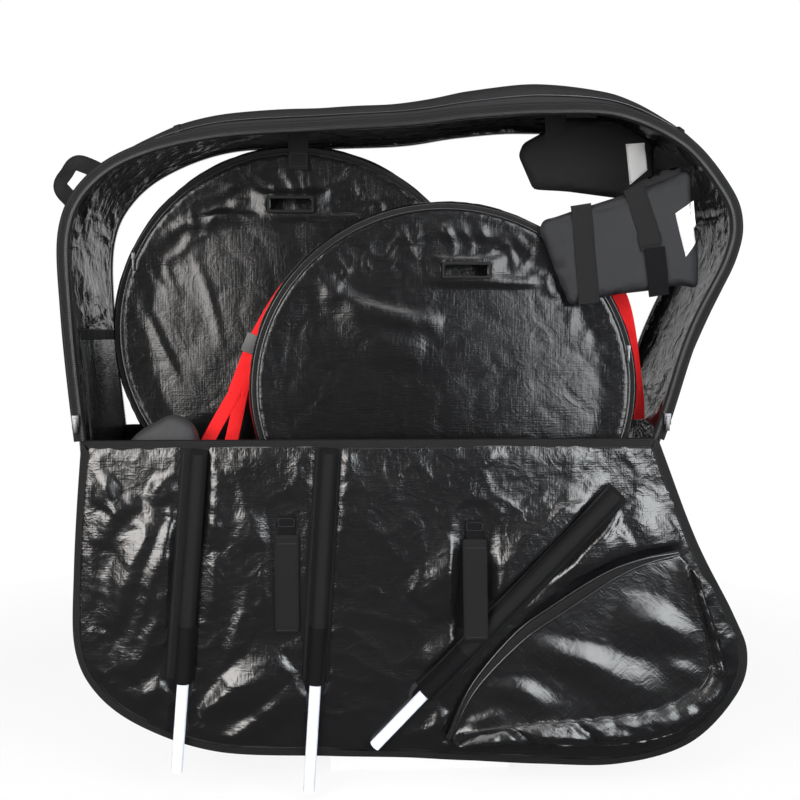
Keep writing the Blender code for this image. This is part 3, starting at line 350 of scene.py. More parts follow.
def smooth_line(rows, steps):
    """The smooth curve through rows, with a number of steps from one row to the next."""
    last = len(rows) - 1
    return [tuple(spline_point(rows, index / steps)) for index in range(last * steps + 1)]


def sized(row):
    """Shares of the bag's length and height as a place."""
    return (row[0] * LENGTH, FLOOR_Z + row[1] * (HEIGHT - FLOOR_Z))


def resampled(line, spacing, closed=False):
    """A line with its points an even distance apart."""
    points = np.array(list(line) + ([line[0]] if closed else []), float)
    steps = np.linalg.norm(np.diff(points, axis=0), axis=1)
    walked = np.concatenate(([0], np.cumsum(steps)))
    count = max(int(round(walked[-1] / spacing)), 2)
    places = np.linspace(0, walked[-1], count + 1)
    even = [np.interp(places, walked, points[:, axis]) for axis in range(points.shape[1])]
    made = np.stack(even, axis=1)
    return made[:-1] if closed else made


def arch_table():
    """The crown at even steps: place, inward direction, front and rear inset, overlap."""
    count = CROWN_STEPS * (len(CROWN) - 1)
    rows = np.array([spline_point(CROWN, index / CROWN_STEPS) for index in range(count + 1)])
    places = np.stack((rows[:, 0] * LENGTH, FLOOR_Z + rows[:, 1] * (HEIGHT - FLOOR_Z)), axis=1)
    insets = rows[:, [2, 3, 5]] * EDGE_INSET
    both = np.concatenate((places, insets, rows[:, 4:5] * PANEL_OVERLAP), 1)
    steps = np.linalg.norm(np.diff(places, axis=0), axis=1)
    walked = np.concatenate(([0], np.cumsum(steps)))
    even = np.linspace(0, walked[-1], ARCH_ROWS + 1)
    table = np.stack([np.interp(even, walked, both[:, axis]) for axis in range(6)], axis=1)
    along = np.gradient(table[:, :2], axis=0)
    along /= np.linalg.norm(along, axis=1)[:, None]
    inward = np.stack((along[:, 1], -along[:, 0]), axis=1)
    numbers = np.arange(ARCH_ROWS + 1)
    ease = np.clip(np.minimum(numbers, numbers[::-1]) / LEVEL_ROWS, 0, 1)[:, None]
    level = np.where(numbers < ARCH_ROWS / 2, 1.0, -1.0)[:, None] * np.array([[1.0, 0.0]])
    inward = inward * ease + level * (1 - ease)
    inward /= np.linalg.norm(inward, axis=1)[:, None]
    tuck = table[:, 4:5]
    crown = table[:, :2] + inward * tuck
    made = np.concatenate((crown, inward, table[:, 2:4] - tuck, table[:, 5:]), axis=1)
    return made, walked[-1]


ARCH, ARCH_LENGTH = arch_table()


def arch_row(share):
    """The arch's row at a share of its length: place, inward direction, insets and overlap."""
    place = min(max(share, 0.0), 1.0) * (len(ARCH) - 1)
    step = min(int(place), len(ARCH) - 2)
    return ARCH[step] + (place - step) * (ARCH[step + 1] - ARCH[step])


def arch_point(share, turn, depth=0.0):
    """A place on the arch: along it, across it from -1 at the front to 1, and below its skin."""
    x, z, in_x, in_z, front, rear, overlap = arch_row(share)
    across = math.sin(abs(turn) * math.pi / 2) ** (2 / 3)
    fall = 1 - math.cos(abs(turn) * math.pi / 2) ** (2 / 3)
    inset = front if turn < 0 else rear
    low = depth + (inset - depth) * fall
    y = math.copysign((HALF_DEPTH - depth) * across, turn)
    return Vector((x + in_x * low, y, z + in_z * low))


def share_of(x, z):
    """The arch's share whose crown lies nearest to a place."""
    return float(np.argmin((ARCH[:, 0] - x) ** 2 + (ARCH[:, 1] - z) ** 2)) / (len(ARCH) - 1)


def edge_line(side, extra=0.0):
    """The arch's front or rear edge, or a line a little further in."""
    column = 4 if side == "front" else 5
    return [(row[0] + row[2] * (row[column] + extra), row[1] + row[3] * (row[column] + extra))
            for row in ARCH]


def cut_above(line, level):
    """The part of an arch line above a level, cut exactly at the level."""
    kept = []
    for a, b in zip(line, line[1:]):
        if a[1] >= level:
            kept.append(a)
        if (a[1] - level) * (b[1] - level) < 0:
            share = (level - a[1]) / (b[1] - a[1])
            kept.append((a[0] + share * (b[0] - a[0]), level))
    return kept


def panel_outline(side, inset=0.0):
    """A hanging panel's edge, its overlap mirrored in the hinge line."""
    column = 4 if side == "front" else 5
    line = [(row[0] + row[2] * (row[column] - row[6] + inset),
             row[1] + row[3] * (row[column] - row[6] + inset)) for row in ARCH]
    kept = cut_above(line, HINGE_Z + GAP + inset)
    return [(x, 2 * HINGE_Z - z) for x, z in kept]


def sign_of(side):
    """Y is below zero at the front and above it at the rear."""
    return -1.0 if side == "front" else 1.0


def on_panel(side, row):
    """Shares of the bag's length and the hanging panel's drop as a place."""
    drop = HINGE_Z - min(z for x, z in panel_outline(side))
    return (row[0] * LENGTH, HINGE_Z - row[1] * drop)


def inside(points, loop):
    """Which points lie inside a closed loop."""
    found = np.zeros(len(points), bool)
    x, z = points[:, 0], points[:, 1]
    for (ax, az), (bx, bz) in zip(loop, np.roll(loop, -1, axis=0)):
        crosses = (az > z) != (bz > z)
        with np.errstate(divide="ignore", invalid="ignore"):
            found ^= crosses & (x < (bx - ax) * (z - az) / (bz - az) + ax)
    return found


def nearest(points, line, closed=False):
    """Each point's distance to a line, and how far along it the nearest place is."""
    line = np.array(line, float)
    if closed:
        line = np.concatenate((line, line[:1]))
    best = np.full(len(points), 1e9)
    along = np.zeros(len(points))
    walked = 0.0
    for a, b in zip(line, line[1:]):
        span = b - a
        length = np.linalg.norm(span)
        if length < 1e-9:
            continue
        share = np.clip(((points - a) @ span) / length ** 2, 0, 1)
        gap = np.linalg.norm(points - (a + share[:, None] * span), axis=1)
        closer = gap < best
        best[closer] = gap[closer]
        along[closer] = walked + share[closer] * length
        walked += length
    return best, along


def beside(places, line):
    """How far below a line each place lies, and the share of the line it lies beside."""
    line = np.array(line)
    offsets = places[:, None] - line[None]
    index = (offsets ** 2).sum(axis=2).argmin(axis=1)
    along = np.gradient(line, axis=0)
    along /= np.linalg.norm(along, axis=1)[:, None]
    down = np.stack((along[:, 1], -along[:, 0]), axis=1)
    down *= -1.0 if down[:, 1].mean() > 0 else 1.0
    picked = offsets[np.arange(len(places)), index]
    spacing = np.linalg.norm(line[1] - line[0])
    way = index * spacing + (picked * along[index]).sum(axis=1)
    return (picked * down[index]).sum(axis=1), way / (spacing * (len(line) - 1))


def fold_rise(places, folds, wider=1.0):
    """Folds in tarpaulin: each is steep across its line on the upper side and falls slowly below."""
    total = np.zeros(len(places))
    for points, start, end, height in folds:
        gap, share = beside(places, resampled(smooth_line(points, 6), 0.006))
        width = (start + (end - start) * np.clip(share, 0, 1)) * wider
        taper = np.sin(math.pi * np.clip(share, 0, 1)) ** 0.55
        climb = np.clip(gap / width + 0.5, 0, 1)
        climb = 0.6 * climb + 0.4 * climb ** 2 * (3 - 2 * climb)
        fall = np.clip((gap / width - 0.5) / 2.0, 0, 1)
        total += height * taper * climb * (1 - fall ** 2 * (3 - 2 * fall))
    return total


def wander(x, z, scale, seed):
    """Soft noise from about -1 to 1, another for each seed."""
    return noise.noise(Vector((x * scale + seed * 7.13, z * scale - seed * 3.71, seed * 1.37)))


def crinkle(x, z, scale, seed):
    """Sharp ridges between soft hollows, from 0 to 1."""
    push = 0.35 * wander(x, z, scale * 0.5, seed + 5) / scale
    ridge = 1 - abs(wander(x + push, z - push, scale, seed)) * 2.2
    return max(ridge, 0.0) ** 2


def wanders(places, scale, seed):
    """Soft noise at each place."""
    return np.array([wander(x, z, scale, seed) for x, z in places])


def crinkles(places, scale, seed, shrink=(1, 1)):
    """Sharp ridges at each place, drawn out along X or Z where the shrink is under 1."""
    return np.array([crinkle(x * shrink[0], z * shrink[1], scale, seed) for x, z in places])


def rounded_loop(rows, radius):
    """An outline with its corners rounded."""
    loop = []
    for index, row in enumerate(rows):
        here = Vector(row)
        before = Vector(rows[index - 1]) - here
        after = Vector(rows[(index + 1) % len(rows)]) - here
        reach = min(radius, before.length * 0.45, after.length * 0.45)
        a = here + before.normalized() * reach
        b = here + after.normalized() * reach
        for step in range(5):
            share = step / 4
            loop.append(tuple((1 - share) ** 2 * a + 2 * share * (1 - share) * here + share ** 2 * b))
    return loop


# Making meshes

def alone(obj):
    """Selects one object only, and makes it active."""
    bpy.ops.object.select_all(action="DESELECT")
    obj.select_set(True)
    bpy.context.view_layer.objects.active = obj


def new_piece(name, points, faces, uvs, finish, body, smooth=40, tidy=True):
    """A mesh piece with its UV map in metres, given to a body."""
    mesh = bpy.data.meshes.new(name)
    mesh.from_pydata([tuple(point) for point in points], [], faces)
    layer = mesh.uv_layers.new(name="UVMap")
    corners = np.empty(len(mesh.loops), int)
    mesh.loops.foreach_get("vertex_index", corners)
    layer.data.foreach_set("uv", np.array(uvs, float)[corners].ravel())
    mesh.materials.append(finish)
    made = bpy.data.objects.new(name, mesh)
    bpy.context.scene.collection.objects.link(made)
    if tidy:
        bm = bmesh.new()
        bm.from_mesh(mesh)
        bmesh.ops.recalc_face_normals(bm, faces=bm.faces)
        bm.to_mesh(mesh)
        bm.free()
    alone(made)
    bpy.ops.object.shade_smooth_by_angle(angle=math.radians(smooth))
    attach(made, body)
    return made


def apply_modifiers(made):
    alone(made)
    for modifier in list(made.modifiers):
        bpy.ops.object.modifier_apply(modifier=modifier.name)


def thicken(made, thickness):
    """Gives cloth a thickness behind its face."""
    modifier = made.modifiers.new("thickness", "SOLIDIFY")
    modifier.thickness = thickness
    modifier.offset = -1
    apply_modifiers(made)


def facing_back(made):
    """Whether more of a sheet's face looks to the rear than to the front."""
    return sum(face.normal.y * face.area for face in made.data.polygons) > 0


def loft(name, rows, finish, body, closed=True, smooth=40, ring=False):
    """Rows of points joined one to the next, each row closed and the ends filled unless told not to."""
    points = []
    uvs = []
    width = len(rows[0])
    walked = 0.0
    for index, row in enumerate(rows):
        if index:
            walked += (Vector(row[0]) - Vector(rows[index - 1][0])).length
        around = 0.0
        for place, point in enumerate(row):
            if place:
                around += (Vector(point) - Vector(row[place - 1])).length
            points.append(point)
            uvs.append((walked, around))
    faces = []
    spans = width if closed else width - 1
    turns = len(rows) if ring else len(rows) - 1
    for step in range(turns):
        after = (step + 1) % len(rows)
        for place in range(spans):
            beyond = (place + 1) % width
            faces.append((step * width + place, step * width + beyond,
                          after * width + beyond, after * width + place))
    if closed and not ring:
        faces.append(tuple(range(width))[::-1])
        faces.append(tuple((len(rows) - 1) * width + place for place in range(width)))
    return new_piece(name, points, faces, uvs, finish, body, smooth)


def sweep_rows(path, profile, normal, ring=False):
    """A profile carried along a path, its first axis across and its second along the normal."""
    rows = []
    count = len(path)
    for index, point in enumerate(path):
        if ring:
            before, after = path[index - 1], path[(index + 1) % count]
        else:
            before, after = path[max(index - 1, 0)], path[min(index + 1, count - 1)]
        along = (Vector(after) - Vector(before)).normalized()
        up = normal(index) if callable(normal) else Vector(normal)
        side = along.cross(up).normalized()
        up = side.cross(along).normalized()
        rows.append([Vector(point) + side * a + up * b for a, b in profile])
    return rows


def sweep(name, path, profile, normal, finish, body, ring=False, smooth=40):
    """A piece with one profile all along a path."""
    rows = sweep_rows(path, profile, normal, ring)
    return loft(name, rows, finish, body, ring=ring, smooth=smooth)


def band_profile(width, thickness, sides=3):
    """A flat strap's section with rounded edges."""
    half = width / 2 - thickness / 2
    profile = []
    for middle, start in ((half, -90), (-half, 90)):
        for step in range(sides + 1):
            angle = math.radians(start + 180 * step / sides)
            profile.append((middle + math.cos(angle) * thickness / 2,
                            math.sin(angle) * thickness / 2))
    inner = [-half + 2 * half * share for share in (0.25, 0.5, 0.75)]
    top = [(a, thickness / 2) for a in inner[::-1]]
    bottom = [(a, -thickness / 2) for a in inner]
    return profile[:sides + 1] + top + profile[sides + 1:] + bottom


def round_profile(radius, sides=8):
    """A cord's round section."""
    return [(radius * math.cos(2 * math.pi * step / sides),
             radius * math.sin(2 * math.pi * step / sides)) for step in range(sides)]


def filled(outline, spacing, holes=()):
    """Nearly even triangles inside an outline, as places and faces."""
    rims = [resampled(loop, spacing, True) for loop in (outline, *holes)]
    low = rims[0].min(axis=0)
    high = rims[0].max(axis=0)
    places = []
    row_height = spacing * math.sqrt(3) / 2
    rows = int((high[1] - low[1]) / row_height) + 1
    for row in range(rows):
        shift = spacing / 2 if row % 2 else 0
        xs = np.arange(low[0] + shift, high[0], spacing)
        places.append(np.stack((xs, np.full(len(xs), low[1] + row * row_height)), axis=1))
    places = np.concatenate(places)
    keep = inside(places, rims[0])
    for rim in rims[1:]:
        keep &= ~inside(places, rim)
    places = places[keep]
    for rim in rims:
        gap, along = nearest(places, rim, True)
        places = places[gap > spacing * 0.6]
    edges = []
    start = 0
    for rim in rims:
        edges += [(start + index, start + (index + 1) % len(rim)) for index in range(len(rim))]
        start += len(rim)
    whole = np.concatenate(rims + [places])
    found = delaunay_2d_cdt([Vector(place) for place in whole], edges, [], 0, 1e-7)
    points = np.array([tuple(place) for place in found[0]])
    faces = np.array([face for face in found[2] if len(face) == 3])
    middles = points[faces].mean(axis=1)
    keep = inside(middles, rims[0])
    for rim in rims[1:]:
        keep &= ~inside(middles, rim)
    return points, faces[keep], rims


def sheet_piece(name, outline, spacing, shape, finish, body, thickness, holes=()):
    """A cloth sheet in an outline: shape gives each place's Y, and thickness its back."""
    places, faces, rims = filled(outline, spacing, holes)
    heights = shape(places)
    points = [(x, y, z) for (x, z), y in zip(places, heights)]
    made = new_piece(name, points, [tuple(face) for face in faces.tolist()], places, finish, body,
                     60, tidy=False)
    if facing_back(made) == body.startswith("front"):
        made.data.flip_normals()
    thicken(made, thickness)
    return made


def cloth_area(made):
    """The area of one side of a piece of cloth."""
    return sum(face.area for face in made.data.polygons) / 2


def declare_cloth(made, flat):
    """Works out a piece of cloth's area, capped at its cut width times length, and does nothing more with
    it.
    """
    area = min(cloth_area(made), flat[0] * flat[1])


def front_of(made):
    """How far forward a piece's front lies at a place in X and Z."""
    tree = BVHTree.FromPolygons([vert.co for vert in made.data.vertices],
                                [face.vertices[:] for face in made.data.polygons])

    def y_of(x, z):
        hit = tree.ray_cast(Vector((x, -1, z)), Vector((0, 1, 0)))[0]
        return hit.y if hit else tree.find_nearest(Vector((x, -0.13, z)))[0].y

    return y_of


def pillow(name, outline, spacing, y_of, half_of, finish, body, holes=(), smooth=60):
    """A closed padded piece: two faces that meet at the outline."""
    places, faces, rims = filled(outline, spacing, holes)
    gap = np.full(len(places), 1e9)
    for rim in rims:
        near, along = nearest(places, rim, True)
        gap = np.minimum(gap, near)
    middle = y_of(places)
    half = half_of(places, gap)
    on_rim = gap < 1e-6
    low = [(x, y - h, z) for (x, z), y, h in zip(places, middle, half)]
    high = [(x, y + h, z) for (x, z), y, h in zip(places, middle, half)]
    count = len(places)
    index = np.arange(count)
    upper = np.where(on_rim, index, index + count)
    points = low + high
    front = [tuple(face) for face in faces.tolist()]
    back = [tuple(face[::-1]) for face in upper[faces].tolist()]
    for place in np.nonzero(on_rim)[0]:
        points[place] = (places[place][0], middle[place], places[place][1])
    used = sorted(set(index.tolist()) | set(upper.tolist()))
    new_index = {old: new for new, old in enumerate(used)}
    points = [points[old] for old in used]
    uvs = [tuple(places[old % count]) for old in used]
    faces = [tuple(new_index[corner] for corner in face) for face in front + back]
    return new_piece(name, points, faces, uvs, finish, body, smooth)


def rounded(gap, radius, height):
    """The rise of a rounded edge: nothing at the edge and the full height from a radius in."""
    share = np.clip(gap / radius, 0, 1)
    return height * np.sqrt(np.clip(1 - (1 - share) ** 2, 0, 1))


def level_at(y):
    """The middle of a padded piece that lies at one Y."""
    return lambda places: np.full(len(places), y)


def plain_edge(radius, height):
    """Half the thickness of a smooth padded piece with a rounded edge."""
    return lambda places, gap: rounded(gap, radius, height)


def turned(name, profile, start, axis, finish, body, sides=48, smooth=35):
    """A closed profile of radius and height turned about an axis."""
    axis = Vector(axis).normalized()
    side = axis.orthogonal().normalized()
    other = axis.cross(side)
    rows = []
    for step in range(sides):
        angle = 2 * math.pi * step / sides
        out = side * math.cos(angle) + other * math.sin(angle)
        rows.append([Vector(start) + out * radius + axis * height for radius, height in profile])
    return loft(name, rows, finish, body, ring=True, smooth=smooth)


STITCH_LENGTH = 0.0032
STITCH_PITCH = 0.0050
STITCH_RADIUS = 0.0005


def add_block(points, faces, uvs, rings, middle):
    """Adds a small closed solid, given as rings of four points, to a growing mesh."""
    first = len(points)
    for number, ring in enumerate(rings):
        points += ring
        uvs += [(middle.x, middle.z)] * 4
        if number == 0:
            continue
        near = first + 4 * (number - 1)
        for corner in range(4):
            beyond = (corner + 1) % 4
            faces.append((near + corner, near + beyond, near + 4 + beyond, near + 4 + corner))
    last = len(points) - 4
    faces.append((first, first + 3, first + 2, first + 1))
    faces.append((last, last + 1, last + 2, last + 3))


def stitches(name, path, normal, body):
    """Short raised stitches along a path."""
    even = resampled([tuple(point) for point in path], STITCH_PITCH)
    points = []
    faces = []
    uvs = []
    for a, b in zip(even, even[1:]):
        middle = Vector((a + b) / 2)
        along = Vector(b - a).normalized()
        up = Vector(normal).normalized()
        side = along.cross(up).normalized()
        rings = []
        for share, size in ((-0.5, 0.35), (-0.3, 1.0), (0.3, 1.0), (0.5, 0.35)):
            angles = [math.pi / 2 * turn for turn in range(4)]
            rings.append([middle + along * share * STITCH_LENGTH
                          + side * math.cos(angle) * STITCH_RADIUS * size
                          + up * math.sin(angle) * STITCH_RADIUS * size for angle in angles])
        add_block(points, faces, uvs, rings, middle)
    return new_piece(name, points, faces, uvs, THREAD, body, 60)


# The padded shell of the arch

ARCH_STEPS = 300
TURNS = [-1 + 2 * step / 28 for step in range(29)]


def shell_depth(share, turn):
    """Slow waves in the padded shell, calmer at its edges."""
    x, z = share * ARCH_LENGTH, turn * HALF_DEPTH * 1.4
    calm = max(1 - abs(turn) ** 4, 0.0)
    return -0.0022 * calm * (wander(x, z, 5.0, 1) + 0.5 * wander(x, z, 14.0, 2)) - 0.001 * calm


def make_shell():
    """The arch's padded shell, a seam across it near each end and piping along its edges."""
    rows = []
    for step in range(ARCH_STEPS + 1):
        share = step / ARCH_STEPS
        outer = [arch_point(share, turn, shell_depth(share, turn)) for turn in TURNS]
        inner = [arch_point(share, turn, WALL) for turn in TURNS]
        rows.append(outer + inner[::-1])
    shell = loft("arch_shell", rows, OUTER, "root", smooth=50)
    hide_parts("shell_arch")
    for name, place in (("left", (-0.318, 0.874)), ("right", (0.600, 0.880))):
        share = share_of(*place)
        path = [arch_point(share, turn, -0.0022) for turn in TURNS[2:-2]]
        outward = Vector((-arch_row(share)[2], 0, -arch_row(share)[3]))
        sweep("shell_seam_" + name, path, band_profile(0.011, 0.0014), outward, OUTER, "root")
    for side in SIDES:
        turn = 0.80 * sign_of(side)
        path = [arch_point(step / ARCH_STEPS, turn, -0.0012) for step in range(4, ARCH_STEPS - 3)]
        sweep(side + "_shell_piping", path, round_profile(0.0021), (0, sign_of(side), 0),
              PIPING, "root", smooth=80)


make_shell()


def lining_depth(share, turn):
    """Crumpled tarpaulin: how far the lining stands off the wall."""
    x, z = share * ARCH_LENGTH, turn * 0.20
    calm = min(1.0, (1 - abs(turn)) * 7.0)
    soft = 0.5 + 0.5 * wander(x, z, 7.0, 3)
    sharp = crinkle(x, z, 16.0, 4) * 0.6 + crinkle(x, z, 34.0, 6) * 0.4
    return calm * (0.0030 * soft + 0.0042 * sharp)


def make_lining():
    """The crumpled tarpaulin inside the arch."""
    rows = []
    for step in range(ARCH_STEPS * 2 + 1):
        share = step / (ARCH_STEPS * 2)
        turns = [-1 + 2 * place / 44 for place in range(45)]
        outer = [arch_point(share, turn, WALL + GAP) for turn in turns]
        inner = [arch_point(share, turn, WALL + GAP + LINING + lining_depth(share, turn))
                 for turn in turns]
        rows.append(outer + inner[::-1])
    lining = loft("arch_lining_cloth", rows, TARP_CREASED, "root", smooth=50)
    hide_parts("arch_lining")
    width = cloth_area(lining) / ARCH_LENGTH
    declare_cloth(lining, (width, ARCH_LENGTH))


make_lining()


# Zips along the arch

# A zip tooth: its pitch, its foot and top above the tape, and its corners in thousandths of a metre
TOOTH_PITCH = 0.0032
TOOTH_HEIGHTS = (-0.0009, 0.0012)
TOOTH_CORNERS = ((-0.9, -2.2), (0.9, -2.2), (0.6, 2.2), (-0.6, 2.2))
TAPE_THICKNESS = 0.0015


def make_zip(side):
    """The tape along one edge of the arch, its two seams and its row of teeth."""
    sign = sign_of(side)
    y = sign * (HALF_DEPTH + GAP + 0.0008)
    line = cut_above(edge_line(side, -TAPE_WIDTH / 2), HINGE_Z)
    path = [Vector((x, y, z)) for x, z in resampled(line, 0.010)]
    tape = sweep(side + "_zip_cloth", path, band_profile(TAPE_WIDTH, TAPE_THICKNESS), (0, sign, 0),
                 BINDING, "root")
    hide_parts(side + "_zip_tape")
    for name, extra in (("outer", -TAPE_WIDTH * 0.82), ("inner", -TAPE_WIDTH * 0.30)):
        row = cut_above(edge_line(side, extra), HINGE_Z + 0.004)
        path = [Vector((x, y + sign * 0.0009, z)) for x, z in row]
        stitches(side + "_zip_seam_" + name, path, (0, sign, 0), "root")
    even = resampled(cut_above(edge_line(side, -0.0014), HINGE_Z), TOOTH_PITCH)
    points = []
    faces = []
    uvs = []
    for a, b in zip(even, even[1:]):
        middle = Vector(((a[0] + b[0]) / 2, y + sign * 0.0012, (a[1] + b[1]) / 2))
        along = Vector((b[0] - a[0], 0, b[1] - a[1])).normalized()
        across = along.cross(Vector((0, sign, 0)))
        rings = [[middle + along * u * 0.001 + across * v * 0.001 + Vector((0, sign * height, 0))
                  for u, v in TOOTH_CORNERS] for height in TOOTH_HEIGHTS]
        add_block(points, faces, uvs, rings, middle)
    new_piece(side + "_zip_teeth", points, faces, uvs, PLASTIC, "root", 30)


for side in SIDES:
    make_zip(side)


# Side panels

# Each sleeve's upper and lower end on the panel, its tunnel's offset and how far its tube is pulled out
SLEEVES = (
    ((-0.2195, 0.020), (-0.2470, 0.711), 0.20, 0.128),
    ((-0.0372, 0.020), (-0.0585, 0.722), 0.04, 0.156),
    ((0.3680, 0.157), (0.0980, 0.762), -0.05, 0.104),
)
SLEEVE_NAMES = ("left", "middle", "slanted")
SLEEVE_WIDTH = 0.046
SLEEVE_CLOTH_THICKNESS = 0.0016

# The tunnel in a sleeve: its height, half its width, the length of its closed end and its extra cloth
TUNNEL_HEIGHT = {"front": 0.0243, "rear": 0.0256}
TUNNEL_HALF = 0.0150
TUNNEL_END = 0.007
TUNNEL_CLOTH = 0.036

# A sleeve's patch and tail of hook-and-loop tape
PATCH_WIDTH = 0.034
PATCH_LENGTH = 0.102
TAIL_WIDTH = 0.030
TAIL_LENGTH = 0.100

# The tubes, how far their axis lies off the lining and how much shorter they are than their sleeves
TUBE_RADIUS = 0.010
TUBE_BORE_RADIUS = 0.0085
TUBE_CHAMFER = 0.0004
TUBE_OUT = 0.012
TUBE_END_GAP = 0.020

# The pocket's mouth and outer edge on the panel
MOUTH = ((0.130, 0.905), (0.160, 0.745), (0.221, 0.585), (0.274, 0.500),
         (0.345, 0.405), (0.400, 0.360), (0.452, 0.340))
OUTER_EDGE = ((0.160, 0.915), (0.270, 0.925), (0.375, 0.930), (0.460, 0.890),
              (0.515, 0.800), (0.522, 0.690), (0.482, 0.425))


# Folds in the panel's lining and the pocket's front: a line, its width at both ends, its height
PANEL_FOLDS = (
    (((-0.378, 0.205), (-0.411, 0.194), (-0.440, 0.165), (-0.454, 0.117)),
     0.016, 0.020, 0.0060),
    (((-0.352, 0.183), (-0.390, 0.135), (-0.413, 0.079), (-0.429, 0.023), (-0.448, -0.025)),
     0.034, 0.022, 0.0105),
    (((-0.317, 0.186), (-0.340, 0.119), (-0.363, 0.060), (-0.379, 0.004), (-0.432, -0.104)),
     0.012, 0.018, 0.0060),
    (((-0.322, 0.112), (-0.341, 0.041), (-0.357, -0.015), (-0.380, -0.060), (-0.421, -0.108)),
     0.012, 0.018, 0.0055),
    (((-0.341, -0.125), (-0.374, -0.136), (-0.400, -0.154)),
     0.014, 0.020, 0.0050),
    (((-0.424, 0.242), (-0.443, 0.224), (-0.460, 0.194)),
     0.014, 0.022, 0.0050),
    (((-0.349, 0.240), (-0.331, 0.230), (-0.309, 0.217)),
     0.014, 0.014, 0.0040),
    (((-0.247, 0.248), (-0.253, 0.197), (-0.260, 0.141)),
     0.010, 0.016, 0.0040),
    (((-0.241, 0.171), (-0.234, 0.141), (-0.227, 0.111)),
     0.008, 0.012, 0.0032),
    (((-0.254, 0.104), (-0.257, 0.051), (-0.266, -0.016)),
     0.008, 0.012, 0.0036),
    (((-0.172, 0.181), (-0.165, 0.148), (-0.156, 0.110)),
     0.014, 0.018, 0.0042),
    (((-0.148, -0.063), (-0.186, -0.097), (-0.238, -0.138), (-0.283, -0.187)),
     0.044, 0.008, 0.0110),
    (((-0.101, -0.131), (-0.164, -0.177), (-0.209, -0.211), (-0.236, -0.234)),
     0.018, 0.010, 0.0062),
    (((-0.205, 0.002), (-0.214, -0.028), (-0.232, -0.077)),
     0.008, 0.012, 0.0030),
    (((0.451, 0.218), (0.359, 0.188), (0.305, 0.154), (0.255, 0.100), (0.229, 0.006)),
     0.052, 0.040, 0.0125),
    (((0.163, 0.132), (0.143, 0.085), (0.090, 0.024)),
     0.034, 0.030, 0.0085),
    (((0.359, 0.192), (0.421, 0.153), (0.461, 0.113), (0.485, 0.066)),
     0.050, 0.040, 0.0105),
    (((0.498, 0.187), (0.546, 0.148), (0.590, 0.096)),
     0.036, 0.030, 0.0085),
    (((0.282, 0.099), (0.240, 0.045), (0.205, 0.006)),
     0.020, 0.018, 0.0050),
    (((0.182, -0.025), (0.148, -0.056), (0.105, -0.102)),
     0.030, 0.024, 0.0080),
    (((0.353, 0.036), (0.299, -0.018), (0.241, -0.085), (0.183, -0.171)),
     0.010, 0.010, 0.0040),
    (((0.156, -0.182), (0.137, -0.202), (0.113, -0.226)),
     0.016, 0.012, 0.0045),
)
POCKET_FOLDS = (
    (((0.465, 0.012), (0.531, -0.000), (0.582, -0.032), (0.614, -0.064)),
     0.038, 0.016, 0.0095),
    (((0.305, -0.054), (0.378, -0.068), (0.436, -0.085), (0.495, -0.113), (0.573, -0.154)),
     0.012, 0.040, 0.0085),
    (((0.549, -0.094), (0.588, -0.103), (0.631, -0.131)),
     0.016, 0.012, 0.0050),
    (((0.229, -0.134), (0.294, -0.133), (0.341, -0.161), (0.357, -0.181)),
     0.010, 0.022, 0.0060),
    (((0.195, -0.198), (0.226, -0.191), (0.257, -0.180)),
     0.008, 0.008, 0.0030),
)


# Leg straps: their places on the panel, how far down the lining lies flat under them, and their sizes
LEG_STRAPS = ((-0.0960, 0.222), (0.1650, 0.240))
LEG_STRAP_REACH = 0.196
LEG_TAB_LENGTH = 0.036
LEG_TAB_WIDTH = 0.029
LEG_PAD_HALF = 0.0215
LEG_PAD_LENGTH = 0.176


# Where the lining ends under the binding, its cloth in the seams, and how little it rises when held down
LINING_EDGE = BINDING_WIDTH * 0.45
SEAM_CLOTH = 0.02
HELD_SHARE = 0.06
PANEL_SPACING = {"front": 0.0052, "rear": 0.0075}
BINDING_THICKNESS = 0.0014


def panel_rise(side, places):
    """How far the lining's crumpled face stands off its shell."""
    rim = resampled(panel_outline(side, LINING_EDGE), 0.004, True)
    gap, along = nearest(places, rim, True)
    held = np.clip(gap / 0.022, 0, 1)
    pucker = np.array([wander(place * 3.2, 0.0, 14.0, 9) for place in along])
    lift = np.exp(-(gap / 0.020) ** 2) * (1 - np.exp(-(gap / 0.006) ** 2)) * pucker * 0.0022
    for start, end, shift, shown in SLEEVES:
        near, way = nearest(places, [on_panel(side, start), on_panel(side, end)])
        held *= np.clip((near - 0.019) / 0.012, HELD_SHARE, 1)
    if side == "front":
        for row in LEG_STRAPS:
            x, z = on_panel(side, row)
            near, way = nearest(places, [(x, z), (x, z - LEG_STRAP_REACH)])
            held *= np.clip((near - 0.026) / 0.016, HELD_SHARE, 1)
        mouth = smooth_line([on_panel(side, row) for row in MOUTH], 6)
        outer = smooth_line([on_panel(side, row) for row in OUTER_EDGE], 6)
        near, way = nearest(places, mouth)
        covered = inside(places, np.array(mouth + outer[::-1]))
        held *= np.where(covered, HELD_SHARE, np.clip((near - 0.004) / 0.014, HELD_SHARE, 1))
    waves = (0.0026 * (0.42 + wanders(places, 4.2, 10)) + 0.0018 * crinkles(places, 9.0, 11, (0.8, 1))
             + 0.0018 * crinkles(places, 17.0, 12) + 0.0007 * crinkles(places, 40.0, 13))
    rise = waves + 1.3 * fold_rise(places, PANEL_FOLDS, 1.45) + lift
    return np.clip(rise * held + 0.0006, 0.0, 0.0175)


